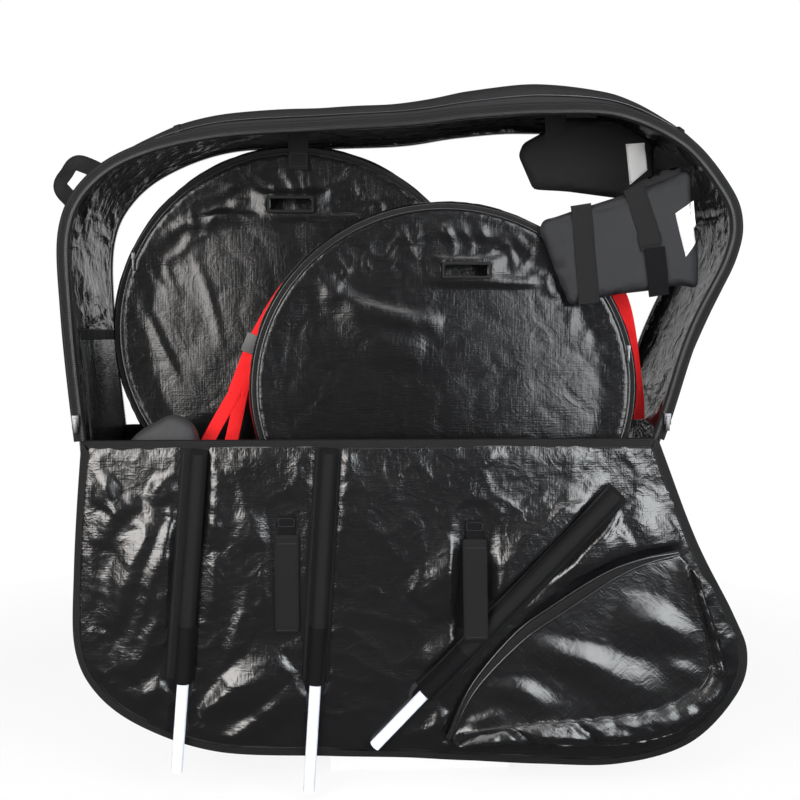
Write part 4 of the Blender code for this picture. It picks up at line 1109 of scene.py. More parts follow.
def make_panel(side):
    """A hanging panel: its padded shell, crumpled lining, edge binding and seam."""
    sign = sign_of(side)
    body = side + "_panel"
    outline = panel_outline(side)
    middle = sign * (HALF_DEPTH + GAP + PANEL_SHELL / 2)

    def shell_half(places, gap):
        slow = wanders(places, 6.0, 8)
        return rounded(gap, 0.008, PANEL_SHELL / 2 - 0.0006) + np.clip(gap / 0.05, 0, 1) * 0.0004 * slow

    shell = pillow(side + "_panel_padding", outline, 0.012, level_at(middle), shell_half, OUTER, body)
    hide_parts(side + "_panel_shell")

    inner = panel_outline(side, LINING_EDGE)

    def face(places):
        return sign * (PANEL_FACE + panel_rise(side, places))

    lining = sheet_piece(side + "_panel_tarp", inner, PANEL_SPACING[side], face, TARP, body,
                         0.001)
    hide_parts(side + "_panel_lining")
    low, high = np.min(inner, axis=0), np.max(inner, axis=0)
    cut = (high[0] - low[0] + SEAM_CLOTH, high[1] - low[1] + SEAM_CLOTH)
    declare_cloth(lining, cut)

    corner = BINDING_WIDTH
    near_y = HALF_DEPTH + GAP - 0.0006
    far_y = PANEL_FACE + 0.0010
    half = (far_y - near_y) / 2
    profile = []
    for step in range(9):
        angle = math.radians(-90 + 180 * step / 8)
        profile.append((0.0015 + math.cos(angle) * 0.0012, math.sin(angle) * half))
    profile = [(-corner * 0.80, -half)] + profile + [(-corner * 0.92, half)]
    fold = half - BINDING_THICKNESS
    profile += [(-corner * 0.92, fold), (-0.002, fold), (-0.002, -fold), (-corner * 0.80, -fold)]
    path = [Vector((x, sign * (near_y + half), z)) for x, z in resampled(outline, 0.010, True)]
    if sign > 0:
        path = path[::-1]
    binding = sweep(side + "_panel_edge", path, profile, (0, sign, 0), BINDING, body,
                    ring=True)
    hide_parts(side + "_panel_binding")
    seam = panel_outline(side, corner * 0.78)
    path = [Vector((x, sign * (far_y + 0.0002), z)) for x, z in seam + seam[:1]]
    stitches(side + "_panel_edge_seam", path, (0, sign, 0), body)


for side in SIDES:
    make_panel(side)


# Sleeves, tubes and leg straps on the panels

def sleeve_frame(side, index):
    """X across, Y out of the lining and Z from the sleeve's low end to its high end."""
    sign = sign_of(side)
    start = on_panel(side, SLEEVES[index][0])
    end = on_panel(side, SLEEVES[index][1])
    out = Vector((0, sign, 0))
    up = Vector((start[0] - end[0], 0, start[1] - end[1])).normalized()
    turn = Matrix((out.cross(up), out, up)).transposed().to_4x4()
    turn.translation = (end[0], sign * (PANEL_FACE + GAP), end[1])
    return turn, math.dist(start, end), SLEEVES[index][2] * sign * SLEEVE_WIDTH


def tunnel_rise(offset, height):
    """The cloth's height over the tube, at an offset from the tube's axis."""
    share = min(abs(offset) / TUNNEL_HALF, 1.0)
    return height * (1 - share ** 2.8) ** (1 / 1.7) * 0.93


def make_sleeve(side, index):
    """A flat sleeve with a tunnel for its tube, two seams, a patch at its mouth and a loose tail."""
    turn, length, axis = sleeve_frame(side, index)
    outward = (0, sign_of(side), 0)
    body = side + "_panel"
    name = side + "_" + SLEEVE_NAMES[index]
    seed = index + (10 if side == "rear" else 0)
    half = SLEEVE_WIDTH / 2
    count = int(length / 0.008)
    across = [-half + SLEEVE_WIDTH * step / 34 for step in range(35)]
    spots = [turn @ Vector((x, 0, length * step / count)) for step in range(count + 1) for x in across]
    lifts = panel_rise(side, np.array([(spot.x, spot.z) for spot in spots])).reshape(-1, 35)
    rows = []
    for step in range(count + 1):
        z = length * step / count
        close = min(1.0, max(length - z, 0.0) / TUNNEL_END) ** 0.5
        height = (TUNNEL_HEIGHT[side] + 0.0009 * wander(z, 0.0, 22.0, seed)) * (0.12 + 0.88 * close)
        sway = 0.0012 * wander(z, 1.0, 9.0, seed + 1)
        top = []
        low = []
        for x, lift in zip(across, lifts[step]):
            rise = tunnel_rise(x - axis, height)
            top.append((x + sway, max(lift, rise) + SLEEVE_CLOTH_THICKNESS))
            low.append((x + sway, max(rise - 0.0004, lift + 0.0002)
                        if abs(x - axis) < 0.0140 else lift + 0.0002))
        rows.append([turn @ Vector((x, y, z)) for x, y in top + low[::-1]])
    sleeve = loft(name + "_sleeve_cloth", rows, SLEEVE_CLOTH, body, smooth=50)
    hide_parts(side + "_sleeve_" + SLEEVE_NAMES[index])
    declare_cloth(sleeve, (SLEEVE_WIDTH + TUNNEL_CLOTH, length))
    for edge in (-half + 0.004, half - 0.004):
        path = [turn @ Vector((edge, 0, 0.01 + (length - 0.02) * step / 40)) for step in range(41)]
        lift = panel_rise(side, np.array([(spot.x, spot.z) for spot in path]))
        path = [spot + Vector((0, sign_of(side) * (0.0019 + rise), 0)) for spot, rise in zip(path, lift)]
        stitches(name + ("_seam_left" if edge < 0 else "_seam_right"), path, outward, body)
    patch = []
    for step in range(15):
        z = -0.002 + PATCH_LENGTH * step / 14
        line = [axis - PATCH_WIDTH / 2 + PATCH_WIDTH * place / 24 for place in range(25)]
        top = [(x, 0.0034 + tunnel_rise(x - axis, 0.0236)) for x in line]
        low = [(x, 0.0018 + tunnel_rise(x - axis, 0.0236)) for x in line]
        patch.append([turn @ Vector((x, y, z)) for x, y in top + low[::-1]])
    loft(name + "_patch", patch, HOOK_LOOP, body, smooth=50)
    tail = [turn @ Vector((0.002 * math.sin(step / 3), 0.0012 + 0.004 * (step / 12) ** 2,
                           0.015 - TAIL_LENGTH * step / 12)) for step in range(13)]
    sweep(name + "_tail", tail, band_profile(TAIL_WIDTH, 0.0014), outward, HOOK_LOOP, body)


def make_tube(side, index):
    """A stiffening tube, pulled part-way out of its sleeve."""
    turn, length, axis = sleeve_frame(side, index)
    low = -SLEEVES[index][3] * LENGTH
    high = low + length - TUBE_END_GAP
    chamfer = TUBE_CHAMFER
    bore = TUBE_BORE_RADIUS
    radius = TUBE_RADIUS
    steps = [(radius, low + chamfer + (high - low - 2 * chamfer) * step / 12) for step in range(1, 12)]
    profile = [(bore, low + chamfer), (bore + chamfer, low), (radius - chamfer, low),
               (radius, low + chamfer), *steps, (radius, high - chamfer), (radius - chamfer, high),
               (bore + chamfer, high), (bore, high - chamfer)]
    name = side + "_tube_" + SLEEVE_NAMES[index]
    start = turn @ Vector((axis, TUBE_OUT, 0))
    tube = turned(name + "_pipe", profile, start, turn.to_3x3() @ Vector((0, 0, 1)), WHITE_TUBE, name)
    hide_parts(name)


for side in SIDES:
    for index in range(len(SLEEVES)):
        make_sleeve(side, index)
        make_tube(side, index)


def place_in(made, turn):
    """Moves a piece's mesh from its own frame to its place in the bag."""
    made.data.transform(turn)
    made.data.update()


def make_leg_strap(name, row, lean):
    """A tab sewn to the panel, and a strap of two padded layers that hangs from it."""
    middle, top = on_panel("front", row)
    body = "leg_strap_" + name
    turn = (Matrix.Translation((middle, -PANEL_FACE - GAP, top))
            @ Matrix.Rotation(-math.radians(lean), 4, "X"))
    tab_profile = band_profile(LEG_TAB_WIDTH, 0.0030)
    path = [Vector((0, -0.0030 - 0.0008 * math.sin(step), -LEG_TAB_LENGTH * step / 6)) for step in range(8)]
    tab = sweep(body + "_tab", path, tab_profile, (0, -1, 0), HOOK_LOOP, body)
    place_in(tab, turn)

    def layer(level, shrink, seed):
        loop = []
        for x, z in ((-1, 0), (1, 0), (1, -1), (-1, -1)):
            loop.append((x * (LEG_PAD_HALF - shrink),
                         -LEG_TAB_LENGTH + 0.003 + z * (LEG_PAD_LENGTH - shrink * 2)))
        corners = rounded_loop(loop, 0.005)

        def y_of(places):
            return level + wanders(places, 18.0, seed) * 0.0006

        def half_of(places, gap):
            ripple = crinkles(places, 26.0, seed)
            return rounded(gap, 0.004, 0.0016) + 0.0004 * ripple * np.clip(gap / 0.01, 0, 1)

        part = pillow(body + "_pad_" + str(seed), corners, 0.0035, y_of, half_of, SLEEVE_CLOTH, body)
        place_in(part, turn)
        return part

    first = layer(-0.0024, 0.0, 21)
    layer(-0.0062, 0.0012, 22)
    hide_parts(body)
    for z in (-LEG_TAB_LENGTH - 0.012, -LEG_TAB_LENGTH - 0.166):
        path = [turn @ Vector((x, -0.0082, z)) for x in (-0.018, 0, 0.018)]
        stitches(body + "_seam_" + str(int(-z * 1000)), path, (0, -1, 0), body)
    corners = ((-0.014, -0.004), (0.014, -0.004), (0.014, -0.018), (-0.014, -0.018), (-0.014, -0.004))
    box = [turn @ Vector((x, -0.0049, z)) for x, z in corners]
    stitches(body + "_box", box, (0, -1, 0), body)


make_leg_strap("left", LEG_STRAPS[0], 0.0)
make_leg_strap("right", LEG_STRAPS[1], 9.0)


# The expanding pocket

def cloth_grid(name, rows, finish, body, thickness, smooth=60):
    """An open sheet from rows of points, with a thickness on its inner side."""
    made = loft(name, rows, finish, body, closed=False, smooth=smooth)
    if facing_back(made):
        made.data.flip_normals()
    thicken(made, thickness)
    return made


# How finely the pocket is laid out across, and how far its seam and its roll stand off the lining
POCKET_COLUMNS = 46
POCKET_SEAM_HEIGHT = 0.0105
POCKET_ROLL_HEIGHT = 0.0420


def make_pocket():
    """A pocket whose front is flat near its mouth and rolls over at its outer edge."""
    mouth = resampled(smooth_line([on_panel("front", row) for row in MOUTH], 10), 0.006)
    outer = smooth_line([on_panel("front", row) for row in OUTER_EDGE], 10)
    outer = resampled(outer, sum(math.dist(a, b) for a, b in zip(outer, outer[1:])) / (len(mouth) - 1))
    count = min(len(mouth), len(outer))
    base = -(PANEL_FACE + GAP)
    rows = []
    seam_line = []
    for step in range(count):
        near, far = mouth[step], outer[min(step, len(outer) - 1)]
        way = step / (count - 1)
        length = math.dist(near, far)
        roll = 0.038 + 0.034 * math.sin(math.pi * min(way * 1.35, 1.0))
        seam_share = max(1 - roll / max(length, roll + 0.005), 0.10)
        row = []
        for column in range(POCKET_COLUMNS + 1):
            share = column / POCKET_COLUMNS
            x = near[0] + share * (far[0] - near[0])
            z = near[1] + share * (far[1] - near[1])
            full = POCKET_SEAM_HEIGHT + math.sin(min(share, 1) * math.pi * 0.62) * 0.0335
            if share < seam_share:
                inner = share / seam_share
                face = POCKET_SEAM_HEIGHT + (full * 0.60 - POCKET_SEAM_HEIGHT) * inner
                soft = 0.5 + wander(x, z, 6.5, 31)
                fold = crinkle(x * 0.6 + z * 0.5, z, 7.0, 32)
                puff = math.sin(math.pi * inner) ** 0.7
                depth = face + puff * (0.0020 * soft + 0.0008 * fold + 0.0008 * crinkle(x, z, 24.0, 33))
                depth += puff * 1.2 * float(fold_rise(np.array([(x, z)]), POCKET_FOLDS, 1.4)[0])
            else:
                inner = (share - seam_share) / (1 - seam_share)
                pinch = sum(math.exp(-((way - spot) / 0.014) ** 2) for spot in (0.17, 0.34))
                crush = crinkle(x, z, 24.0, 35) * (0.4 + 1.3 * way) + 0.5 * crinkle(x, z, 50.0, 36)
                top = POCKET_ROLL_HEIGHT - 0.0090 * pinch - 0.0040 * crush
                rise = math.sin(math.pi * min(inner * 0.94 + 0.06, 1.0)) ** 0.55
                foot = full * 0.57 * (1 - inner) + 0.0010 * inner
                depth = foot + (top - foot) * rise
            row.append(Vector((x, base - depth, z)))
            if column == int(seam_share * POCKET_COLUMNS):
                seam_line.append(Vector((x, base - depth - 0.0006, z)))
        rows.append(row)
    pocket = cloth_grid("pocket_cloth", rows, TARP_SMOOTH, "front_panel", 0.0012)
    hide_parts("panel_pocket")
    sweep("pocket_seam", seam_line[4:], round_profile(0.0017), (0, -1, 0), PIPING, "front_panel",
          smooth=80)
    for number, column in enumerate((0, 3)):
        path = [row[column] + Vector((0, -0.0010, 0)) for row in rows]
        sweep("pocket_piping_" + str(number), path, round_profile(0.0022), (0, -1, 0), PIPING,
              "front_panel", smooth=80)
    hem = [(row[0] + row[3]) / 2 + Vector((0, -0.0004, 0)) for row in rows]
    sweep("pocket_hem", hem, band_profile(0.014, 0.0014), (0, -1, 0), BINDING, "front_panel")


make_pocket()


# Wheel bags

# The depth, the covers' inset from the rim, half the side cloth's width, and the slot and its frame
WHEEL_BAG_DEPTH = 0.062
COVER_INSET = 0.018
GUSSET_HALF = 0.0288
SLOT_HALF = (0.039, 0.0105)
SLOT_SEAM_HALF = (0.0418, 0.0133)
SLOT_FRAME_HALF = (0.044, 0.0155)

# Where a bag's zip pull hangs, in degrees, and the share of the front bag's height left as it sags
PULL_ANGLE = {"front_wheel_bag": 13, "rear_wheel_bag": 155}
SAGGED_SHARE = 0.955


def circle(x, z, radius, steps=120):
    """A circle's outline round a middle."""
    return [(x + radius * math.cos(2 * math.pi * step / steps),
             z + radius * math.sin(2 * math.pi * step / steps)) for step in range(steps)]


def rectangle(x, z, half_x, half_z, radius=0.0015):
    """A rectangle's outline round a middle, its corners rounded."""
    loop = []
    for sx, sz, start in ((1, 1, 0), (-1, 1, 90), (-1, -1, 180), (1, -1, 270)):
        for step in range(4):
            angle = math.radians(start + 30 * step)
            loop.append((x + sx * (half_x - radius) + radius * math.cos(angle),
                         z + sz * (half_z - radius) + radius * math.sin(angle)))
    return loop


# Folds in the wheel bags' front covers
FRONT_BAG_FOLDS = (
    (((-0.057, 0.622), (-0.014, 0.583), (0.043, 0.558), (0.100, 0.546), (0.158, 0.538)),
     0.026, 0.018, 0.0075),
    (((-0.028, 0.654), (-0.019, 0.635), (-0.007, 0.620)),
     0.010, 0.010, 0.0035),
    (((0.138, 0.630), (0.239, 0.618), (0.324, 0.611)),
     0.010, 0.012, 0.0040),
    (((0.052, 0.684), (0.129, 0.704), (0.205, 0.708), (0.301, 0.688)),
     0.014, 0.016, 0.0050),
    (((0.081, 0.712), (0.093, 0.692), (0.100, 0.670)),
     0.008, 0.008, 0.0030),
    (((0.157, 0.717), (0.169, 0.697), (0.177, 0.677)),
     0.008, 0.008, 0.0030),
    (((0.224, 0.715), (0.232, 0.697), (0.239, 0.678)),
     0.008, 0.008, 0.0030),
    (((0.277, 0.708), (0.296, 0.690), (0.321, 0.658)),
     0.010, 0.010, 0.0034),
    (((-0.005, 0.563), (0.043, 0.513), (0.129, 0.493)),
     0.030, 0.030, 0.0040),
)
REAR_BAG_FOLDS = (
    (((-0.385, 0.664), (-0.310, 0.705), (-0.217, 0.713), (-0.133, 0.695)),
     0.014, 0.014, 0.0050),
    (((-0.343, 0.753), (-0.263, 0.772), (-0.175, 0.761)),
     0.010, 0.010, 0.0034),
    (((-0.406, 0.567), (-0.373, 0.492), (-0.330, 0.397)),
     0.012, 0.010, 0.0026),
    (((-0.300, 0.642), (-0.268, 0.548), (-0.248, 0.454)),
     0.010, 0.010, 0.0018),
)


def make_wheel_bag(name, x, z, front_y, slot_share, seed, folds):
    """A round bag: two covers with piping and a zip, a side cloth, and a framed slot to hold it by."""
    back_y = front_y + WHEEL_BAG_DEPTH
    slot_x = x + slot_share[0] * WHEEL_BAG_RADIUS
    slot_z = z + slot_share[1] * WHEEL_BAG_RADIUS
    rim = WHEEL_BAG_RADIUS - COVER_INSET
    slot = rectangle(slot_x, slot_z, *SLOT_HALF)
    for word, y, sign, holes in (("front", front_y, -1, [slot]), ("back", back_y, 1, [])):

        def y_of(places):
            gap = rim - np.hypot(places[:, 0] - x, places[:, 1] - z)
            calm = np.clip(gap / 0.05, 0, 1)
            soft = 0.55 + wanders(places, 3.4, seed) + 0.35 * wanders(places, 8.0, seed + 1)
            fold = crinkles(places, 5.5, seed + 2, (0.55, 1))
            small = crinkles(places, 17.0, seed + 3)
            sag = calm * (0.0040 * soft + 0.0016 * fold + 0.0009 * small) * 0.72
            if holes:
                sag += calm * (0.0050 - fold_rise(places, folds))
                upper = np.exp(-((gap - 0.055) / 0.030) ** 2) * np.clip((places[:, 1] - z) / 0.15, 0, 1)
                sag -= upper * 0.0026 * crinkles(places, 24.0, seed + 8)
                bar = np.exp(-((places[:, 1] - slot_z + 0.024) / 0.006) ** 2)
                wide = np.clip((places[:, 0] - slot_x + 0.06) / 0.03, 0, 1) * np.clip(
                    (slot_x + 0.16 - places[:, 0]) / 0.04, 0, 1)
                sag -= bar * wide * 0.0030
                near = np.maximum(np.abs(places[:, 0] - slot_x) / 0.055,
                                  np.abs(places[:, 1] - slot_z) / 0.022)
                sag *= np.clip(near - 0.4, 0.15, 1)
            return y - sign * (0.0044 + np.clip(sag, -0.0016, 0.0110))

        cover = pillow(name + "_" + word + "_cloth", circle(x, z, rim + 0.002), 0.0065, y_of,
                       plain_edge(0.004, 0.0030), TARP_DULL if word == "front" else TARP_SMOOTH, name,
                       holes)
        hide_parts(name + "_" + word + "_cover")
        outward = (0, sign, 0)
        for number, (radius, depth, thick) in enumerate(((rim + 0.001, 0.0010, 0.0021),
                                                         (rim + 0.0105, 0.0042, 0.0016))):
            path = [Vector((a, y - sign * depth, b)) for a, b in circle(x, z, radius, 180)]
            rows = sweep_rows(path, round_profile(thick), outward, True)
            loft(name + "_" + word + "_piping_" + str(number), rows, PIPING, name,
                 ring=True, smooth=80)
        path = [Vector((a, y - sign * 0.0026, b)) for a, b in circle(x, z, rim + 0.0058, 180)]
        rows = sweep_rows(path, band_profile(0.0080, 0.0012), outward, True)
        loft(name + "_" + word + "_zip", rows, BINDING, name, ring=True)
    rows = []
    for step in range(180):
        angle = 2 * math.pi * step / 180
        out = Vector((math.cos(angle), 0, math.sin(angle)))
        ripple = 0.0016 * wander(math.cos(angle), math.sin(angle), 5.0, seed + 6)
        row = []
        for place in range(17):
            share = -1 + place / 8
            bulge = (1 - abs(share) ** 3.0) ** (1 / 2.2)
            radius = rim + (WHEEL_BAG_RADIUS + 0.001 - rim) * bulge + ripple * bulge
            crush = 0.0011 * crinkle(angle * WHEEL_BAG_RADIUS, share * 0.03, 30.0, seed + 7) * bulge
            row.append(Vector((x, (front_y + back_y) / 2 + share * GUSSET_HALF, z)) + out * (radius - crush))
        inner = [point - out * 0.0040 + Vector((0, (front_y + back_y) / 2 - point.y, 0)) * 0.10
                 for point in row]
        rows.append(row + inner[::-1])
    gusset = loft(name + "_side_cloth", rows, TARP_SMOOTH, name, ring=True, smooth=60)
    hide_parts(name + "_gusset")
    outline = rectangle(slot_x, slot_z, *SLOT_FRAME_HALF, 0.003)
    grip = pillow(name + "_slot_frame", outline, 0.0028, level_at(front_y - GAP - 0.0004),
                  plain_edge(0.002, 0.0008), BINDING, name, [slot])
    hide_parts(name + "_grip")
    seam = rectangle(slot_x, slot_z, *SLOT_SEAM_HALF, 0.002)
    path = [Vector((a, front_y - 0.0022, b)) for a, b in seam]
    stitches(name + "_slot_seam", path + path[:1], (0, -1, 0), name)
    pull_angle = math.radians(PULL_ANGLE[name])
    low = Vector((x + (rim + 0.006) * math.cos(pull_angle), front_y - 0.0016,
                  z + (rim + 0.006) * math.sin(pull_angle)))
    make_small_slider(name + "_pull", low, name)


def bevelled_block(place, size, width, segments):
    """A block at a place, its edges bevelled, left selected and active."""
    bpy.ops.object.select_all(action="DESELECT")
    bpy.ops.mesh.primitive_cube_add(size=1, location=place)
    block = bpy.context.object
    block.scale = size
    bpy.ops.object.transform_apply(location=True, scale=True)
    bpy.ops.object.mode_set(mode="EDIT")
    bpy.ops.mesh.select_all(action="SELECT")
    bpy.ops.mesh.bevel(offset=width, segments=segments, affect="EDGES")
    bpy.ops.object.mode_set(mode="OBJECT")
    return block


def make_small_slider(name, place, body):
    """A small zip slider with its pull, hanging on a wheel bag's rim."""
    slider = bevelled_block(place, (0.008, 0.0036, 0.013), 0.0012, 3)
    bevelled_block(place + Vector((0, -0.0012, -0.016)), (0.0045, 0.0014, 0.024), 0.0006, 2)
    slider.select_set(True)
    bpy.context.view_layer.objects.active = slider
    bpy.ops.object.join()
    slider.name = name
    slider.data.materials.clear()
    slider.data.materials.append(DARK_METAL)
    bpy.ops.object.shade_smooth_by_angle(angle=math.radians(35))
    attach(slider, body)


FRONT_BAG_Z = PAD_TOP + GAP + WHEEL_BAG_RADIUS
make_wheel_bag("front_wheel_bag", 0.161, FRONT_BAG_Z, -0.101, (0.107, 0.632), 41, FRONT_BAG_FOLDS)
make_wheel_bag("rear_wheel_bag", -0.107, 0.486, 0.008, (-0.042, 0.684), 61, REAR_BAG_FOLDS)


def press_down(start, floor, share):
    """Brings a bag's pieces closer to the floor, as it sags under its own weight."""
    for made in bpy.data.objects:
        if made.name.startswith(start) and made.name not in frame["nodes"]:
            made.data.transform(Matrix.Translation((0, 0, floor * (1 - share)))
                                @ Matrix.Diagonal((1, 1, share, 1)))
            made.data.update()


press_down("front_wheel_bag_", PAD_TOP + GAP, SAGGED_SHARE)


# Straps inside the bag

# The tie-down strap's route, as shares of the bag's length and height
TIE = ((-0.175, 0.385), (-0.137, 0.505), (-0.080, 0.615), (0.000, 0.668), (0.130, 0.692),
       (0.270, 0.675), (0.340, 0.632), (0.391, 0.570), (0.4145, 0.400))
TIE_Y = -0.0364
TIE_WIDTH = 0.034
STRAND_WIDTH = 0.024
FOOT_WIDTH = 0.030


def make_tie():
    """The red strap over the wheel bags, its two strands below the buckle and their feet."""
    wall_z = FLOOR_Z + 0.330 * (HEIGHT - FLOOR_Z)
    low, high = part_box("tie_down_strap")
    line = smooth_line([sized(row) for row in TIE] + [(high[0] - 0.019, wall_z)], 8)
    path = [Vector((a, TIE_Y, b)) for a, b in resampled(line, 0.006)]
    strap = sweep("tie_strap_cloth", path, band_profile(TIE_WIDTH, 0.0019), (0, -1, 0), RED, "root")
    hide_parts("tie_down_strap")
    strands = (((-0.172, 0.398), (-0.214, 0.300), (-0.262, 0.170), (-0.304, 0.030)),
               ((-0.166, 0.400), (-0.182, 0.300), (-0.206, 0.170), (-0.232, 0.030)))
    for number, rows in enumerate(strands):
        places = [sized(row) for row in rows]
        line = [(a, b) for a, b in resampled(smooth_line(places, 8), 0.006) if b > PAD_TOP + 0.008]
        shift = 0.0005 if number else -0.0005
        path = [Vector((a, TIE_Y + shift, b)) for a, b in line]
        sweep("tie_strand_" + str(number), path, band_profile(STRAND_WIDTH, 0.0013), (0, -1, 0), RED,
              "root")
        foot = line[-1]
        path = [Vector((foot[0] - 0.004, TIE_Y, PAD_TOP + 0.002)),
                Vector((foot[0], TIE_Y, PAD_TOP + 0.012))]
        sweep("tie_foot_" + str(number), path, band_profile(FOOT_WIDTH, 0.0040), (0, -1, 0), WEBBING,
              "root")


make_tie()


def make_hanger():
    """The strap that carries the rear wheel bag."""
    low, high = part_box("hanger_strap")
    x = (low[0] + high[0]) / 2
    y = (low[1] + high[1]) / 2
    path = [Vector((x, y, high[2] - (high[2] - low[2]) * step / 16)) for step in range(17)]
    strap = sweep("hanger_cloth", path, band_profile(high[0] - low[0], 0.0019), (0, -1, 0), WEBBING,
                  "rear_wheel_bag")
    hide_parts("hanger_strap")
    corners = ((-0.015, 0.006), (0.015, 0.006), (0.015, 0.030), (-0.015, 0.030), (-0.015, 0.006))
    box = [Vector((x + a, y - 0.0011, low[2] + b)) for a, b in corners]
    stitches("hanger_box", box, (0, -1, 0), "rear_wheel_bag")


make_hanger()


def softened(node, name, width, finish, body, segments=3, angle=35):
    """A CAD piece's copy with its edges rounded, under a finish of its own."""
    mesh = frame["nodes"][node].data.copy()
    mesh.name = name
    bm = bmesh.new()
    bm.from_mesh(mesh)
    bmesh.ops.remove_doubles(bm, verts=bm.verts, dist=1e-5)
    bmesh.ops.dissolve_limit(bm, angle_limit=math.radians(3), verts=bm.verts, edges=bm.edges)
    bm.to_mesh(mesh)
    bm.free()
    made = bpy.data.objects.new(name, mesh)
    bpy.context.scene.collection.objects.link(made)
    mesh.materials.clear()
    mesh.materials.append(finish)
    modifier = made.modifiers.new("rounding", "BEVEL")
    modifier.width = width
    modifier.segments = segments
    modifier.limit_method = "ANGLE"
    modifier.angle_limit = math.radians(angle)
    apply_modifiers(made)
    bpy.ops.object.shade_smooth_by_angle(angle=math.radians(40))
    if not mesh.uv_layers:
        mesh.uv_layers.new(name="UVMap")
    layer = made.data.uv_layers[0]
    for face in made.data.polygons:
        axis = max(range(3), key=lambda a: abs(face.normal[a]))
        first, second = [a for a in range(3) if a != axis]
        for corner in face.loop_indices:
            co = made.data.vertices[made.data.loops[corner].vertex_index].co
            layer.data[corner].uv = (co[first], co[second])
    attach(made, body)
    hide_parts(node)
    return made


softened("cam_buckle", "buckle_body", 0.0007, PLASTIC, "root")
softened("buckle_lever", "buckle_lever_look", 0.0008, PLASTIC, "buckle_lever")
for side in SIDES:
    for word in ("left", "right"):
        node = side + "_zip_slider_" + word
        softened(node, node + "_look", 0.0008, DARK_METAL, node)
for side in SIDES:
    wall = softened("tub_" + side + "_wall", "tub_" + side + "_cloth", 0.004, OUTER, "root")
floor_cloth = softened("floor_pad", "floor_pad_cloth", 0.006, TARP_SMOOTH, "root", 4)
softened("roller_housing", "roller_bracket", 0.0015, PLASTIC, "root")
softened("base_tray", "base_board", 0.0015, PLASTIC, "root")


ROLLER_HALF = 0.0130
ROLLER_Y = 0.075


def make_roller(name, y):
    """A roller with a hub, a recessed face and a rounded tread."""
    low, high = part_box(name)
    middle = ((low[0] + high[0]) / 2, y, (low[2] + high[2]) / 2)
    half = ROLLER_HALF
    profile = [(0.0044, -half), (0.013, -half), (0.0135, -half + 0.002), (0.021, -half + 0.003),
               (0.0225, -half), (0.0262, -half), (0.0278, -half + 0.002), (0.0280, -half + 0.005),
               (0.0280, half - 0.005), (0.0278, half - 0.002), (0.0262, half), (0.0225, half),
               (0.021, half - 0.003), (0.0135, half - 0.002), (0.013, half), (0.0044, half)]
    wheel = turned(name + "_tyre", profile, middle, (0, 1, 0), RUBBER, name)
    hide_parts(name)


make_roller("front_roller", -ROLLER_Y)
make_roller("rear_roller", ROLLER_Y)
low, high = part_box("roller_axle")
axle = turned("axle_pin", [(0.0, -0.110), (0.0034, -0.110), (0.0040, -0.1094), (0.0040, 0.1094),
                           (0.0034, 0.110), (0.0, 0.110)],
              ((low[0] + high[0]) / 2, 0, (low[2] + high[2]) / 2), (0, 1, 0), STEEL, "root", 24)
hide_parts("roller_axle")


# Handles on the arch

def make_handle(name, start, end, rise, twist=0.0, width=0.040):
    """A webbing handle between two shares of the arch, sewn down at both ends."""
    tab = (end - start) * 0.16
    rows = ((start, 0.0), (start + tab * 0.9, 0.0), (start + tab * 1.5, rise * 0.55),
            (start + tab * 2.1, rise * 0.97), ((start + end) / 2, rise),
            (end - tab * 2.1, rise * 0.97), (end - tab * 1.5, rise * 0.55), (end - tab * 0.9, 0.0),
            (end, 0.0))
    path = []
    ups = []
    for share, height in resampled(smooth_line([(a * ARCH_LENGTH, b) for a, b in rows], 8), 0.003):
        row = arch_row(share / ARCH_LENGTH)
        outward = Vector((-row[2], 0, -row[3]))
        path.append(Vector((row[0], 0, row[1])) + outward * (max(height, 0.0) + GAP + 0.0026))
        turn = math.radians(twist) * min(max(height, 0.0) / (rise * 0.6), 1.0)
        ups.append(outward * math.cos(turn) - Vector((0, math.sin(turn), 0)))
    handle = sweep(name + "_cloth", path, band_profile(width, 0.0042), lambda index: ups[index],
                   WEBBING, "root")
    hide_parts(name)
    for word, share in (("low", start + tab * 0.45), ("high", end - tab * 0.45)):
        row = arch_row(share)
        outward = Vector((-row[2], 0, -row[3]))
        along = Vector((row[3], 0, -row[2]))
        middle = Vector((row[0], 0, row[1])) + outward * 0.0052
        box = [middle + along * a * 0.006 + Vector((0, b * 0.016, 0))
               for a, b in ((-1, -1), (1, -1), (1, 1), (-1, 1), (-1, -1), (1, 1))]
        stitches(name + "_box_" + word, box, outward, "root")


make_handle("carry_loop", 0.2390, 0.2850, 0.072, 62, 0.032)
make_handle("left_side_handle", 0.1980, 0.2370, 0.022)
make_handle("right_side_handle", 0.7430, 0.7790, 0.023)


# Pads and pouch

SIM_FRAMES = 20
AIR_PRESSURE = 4.0


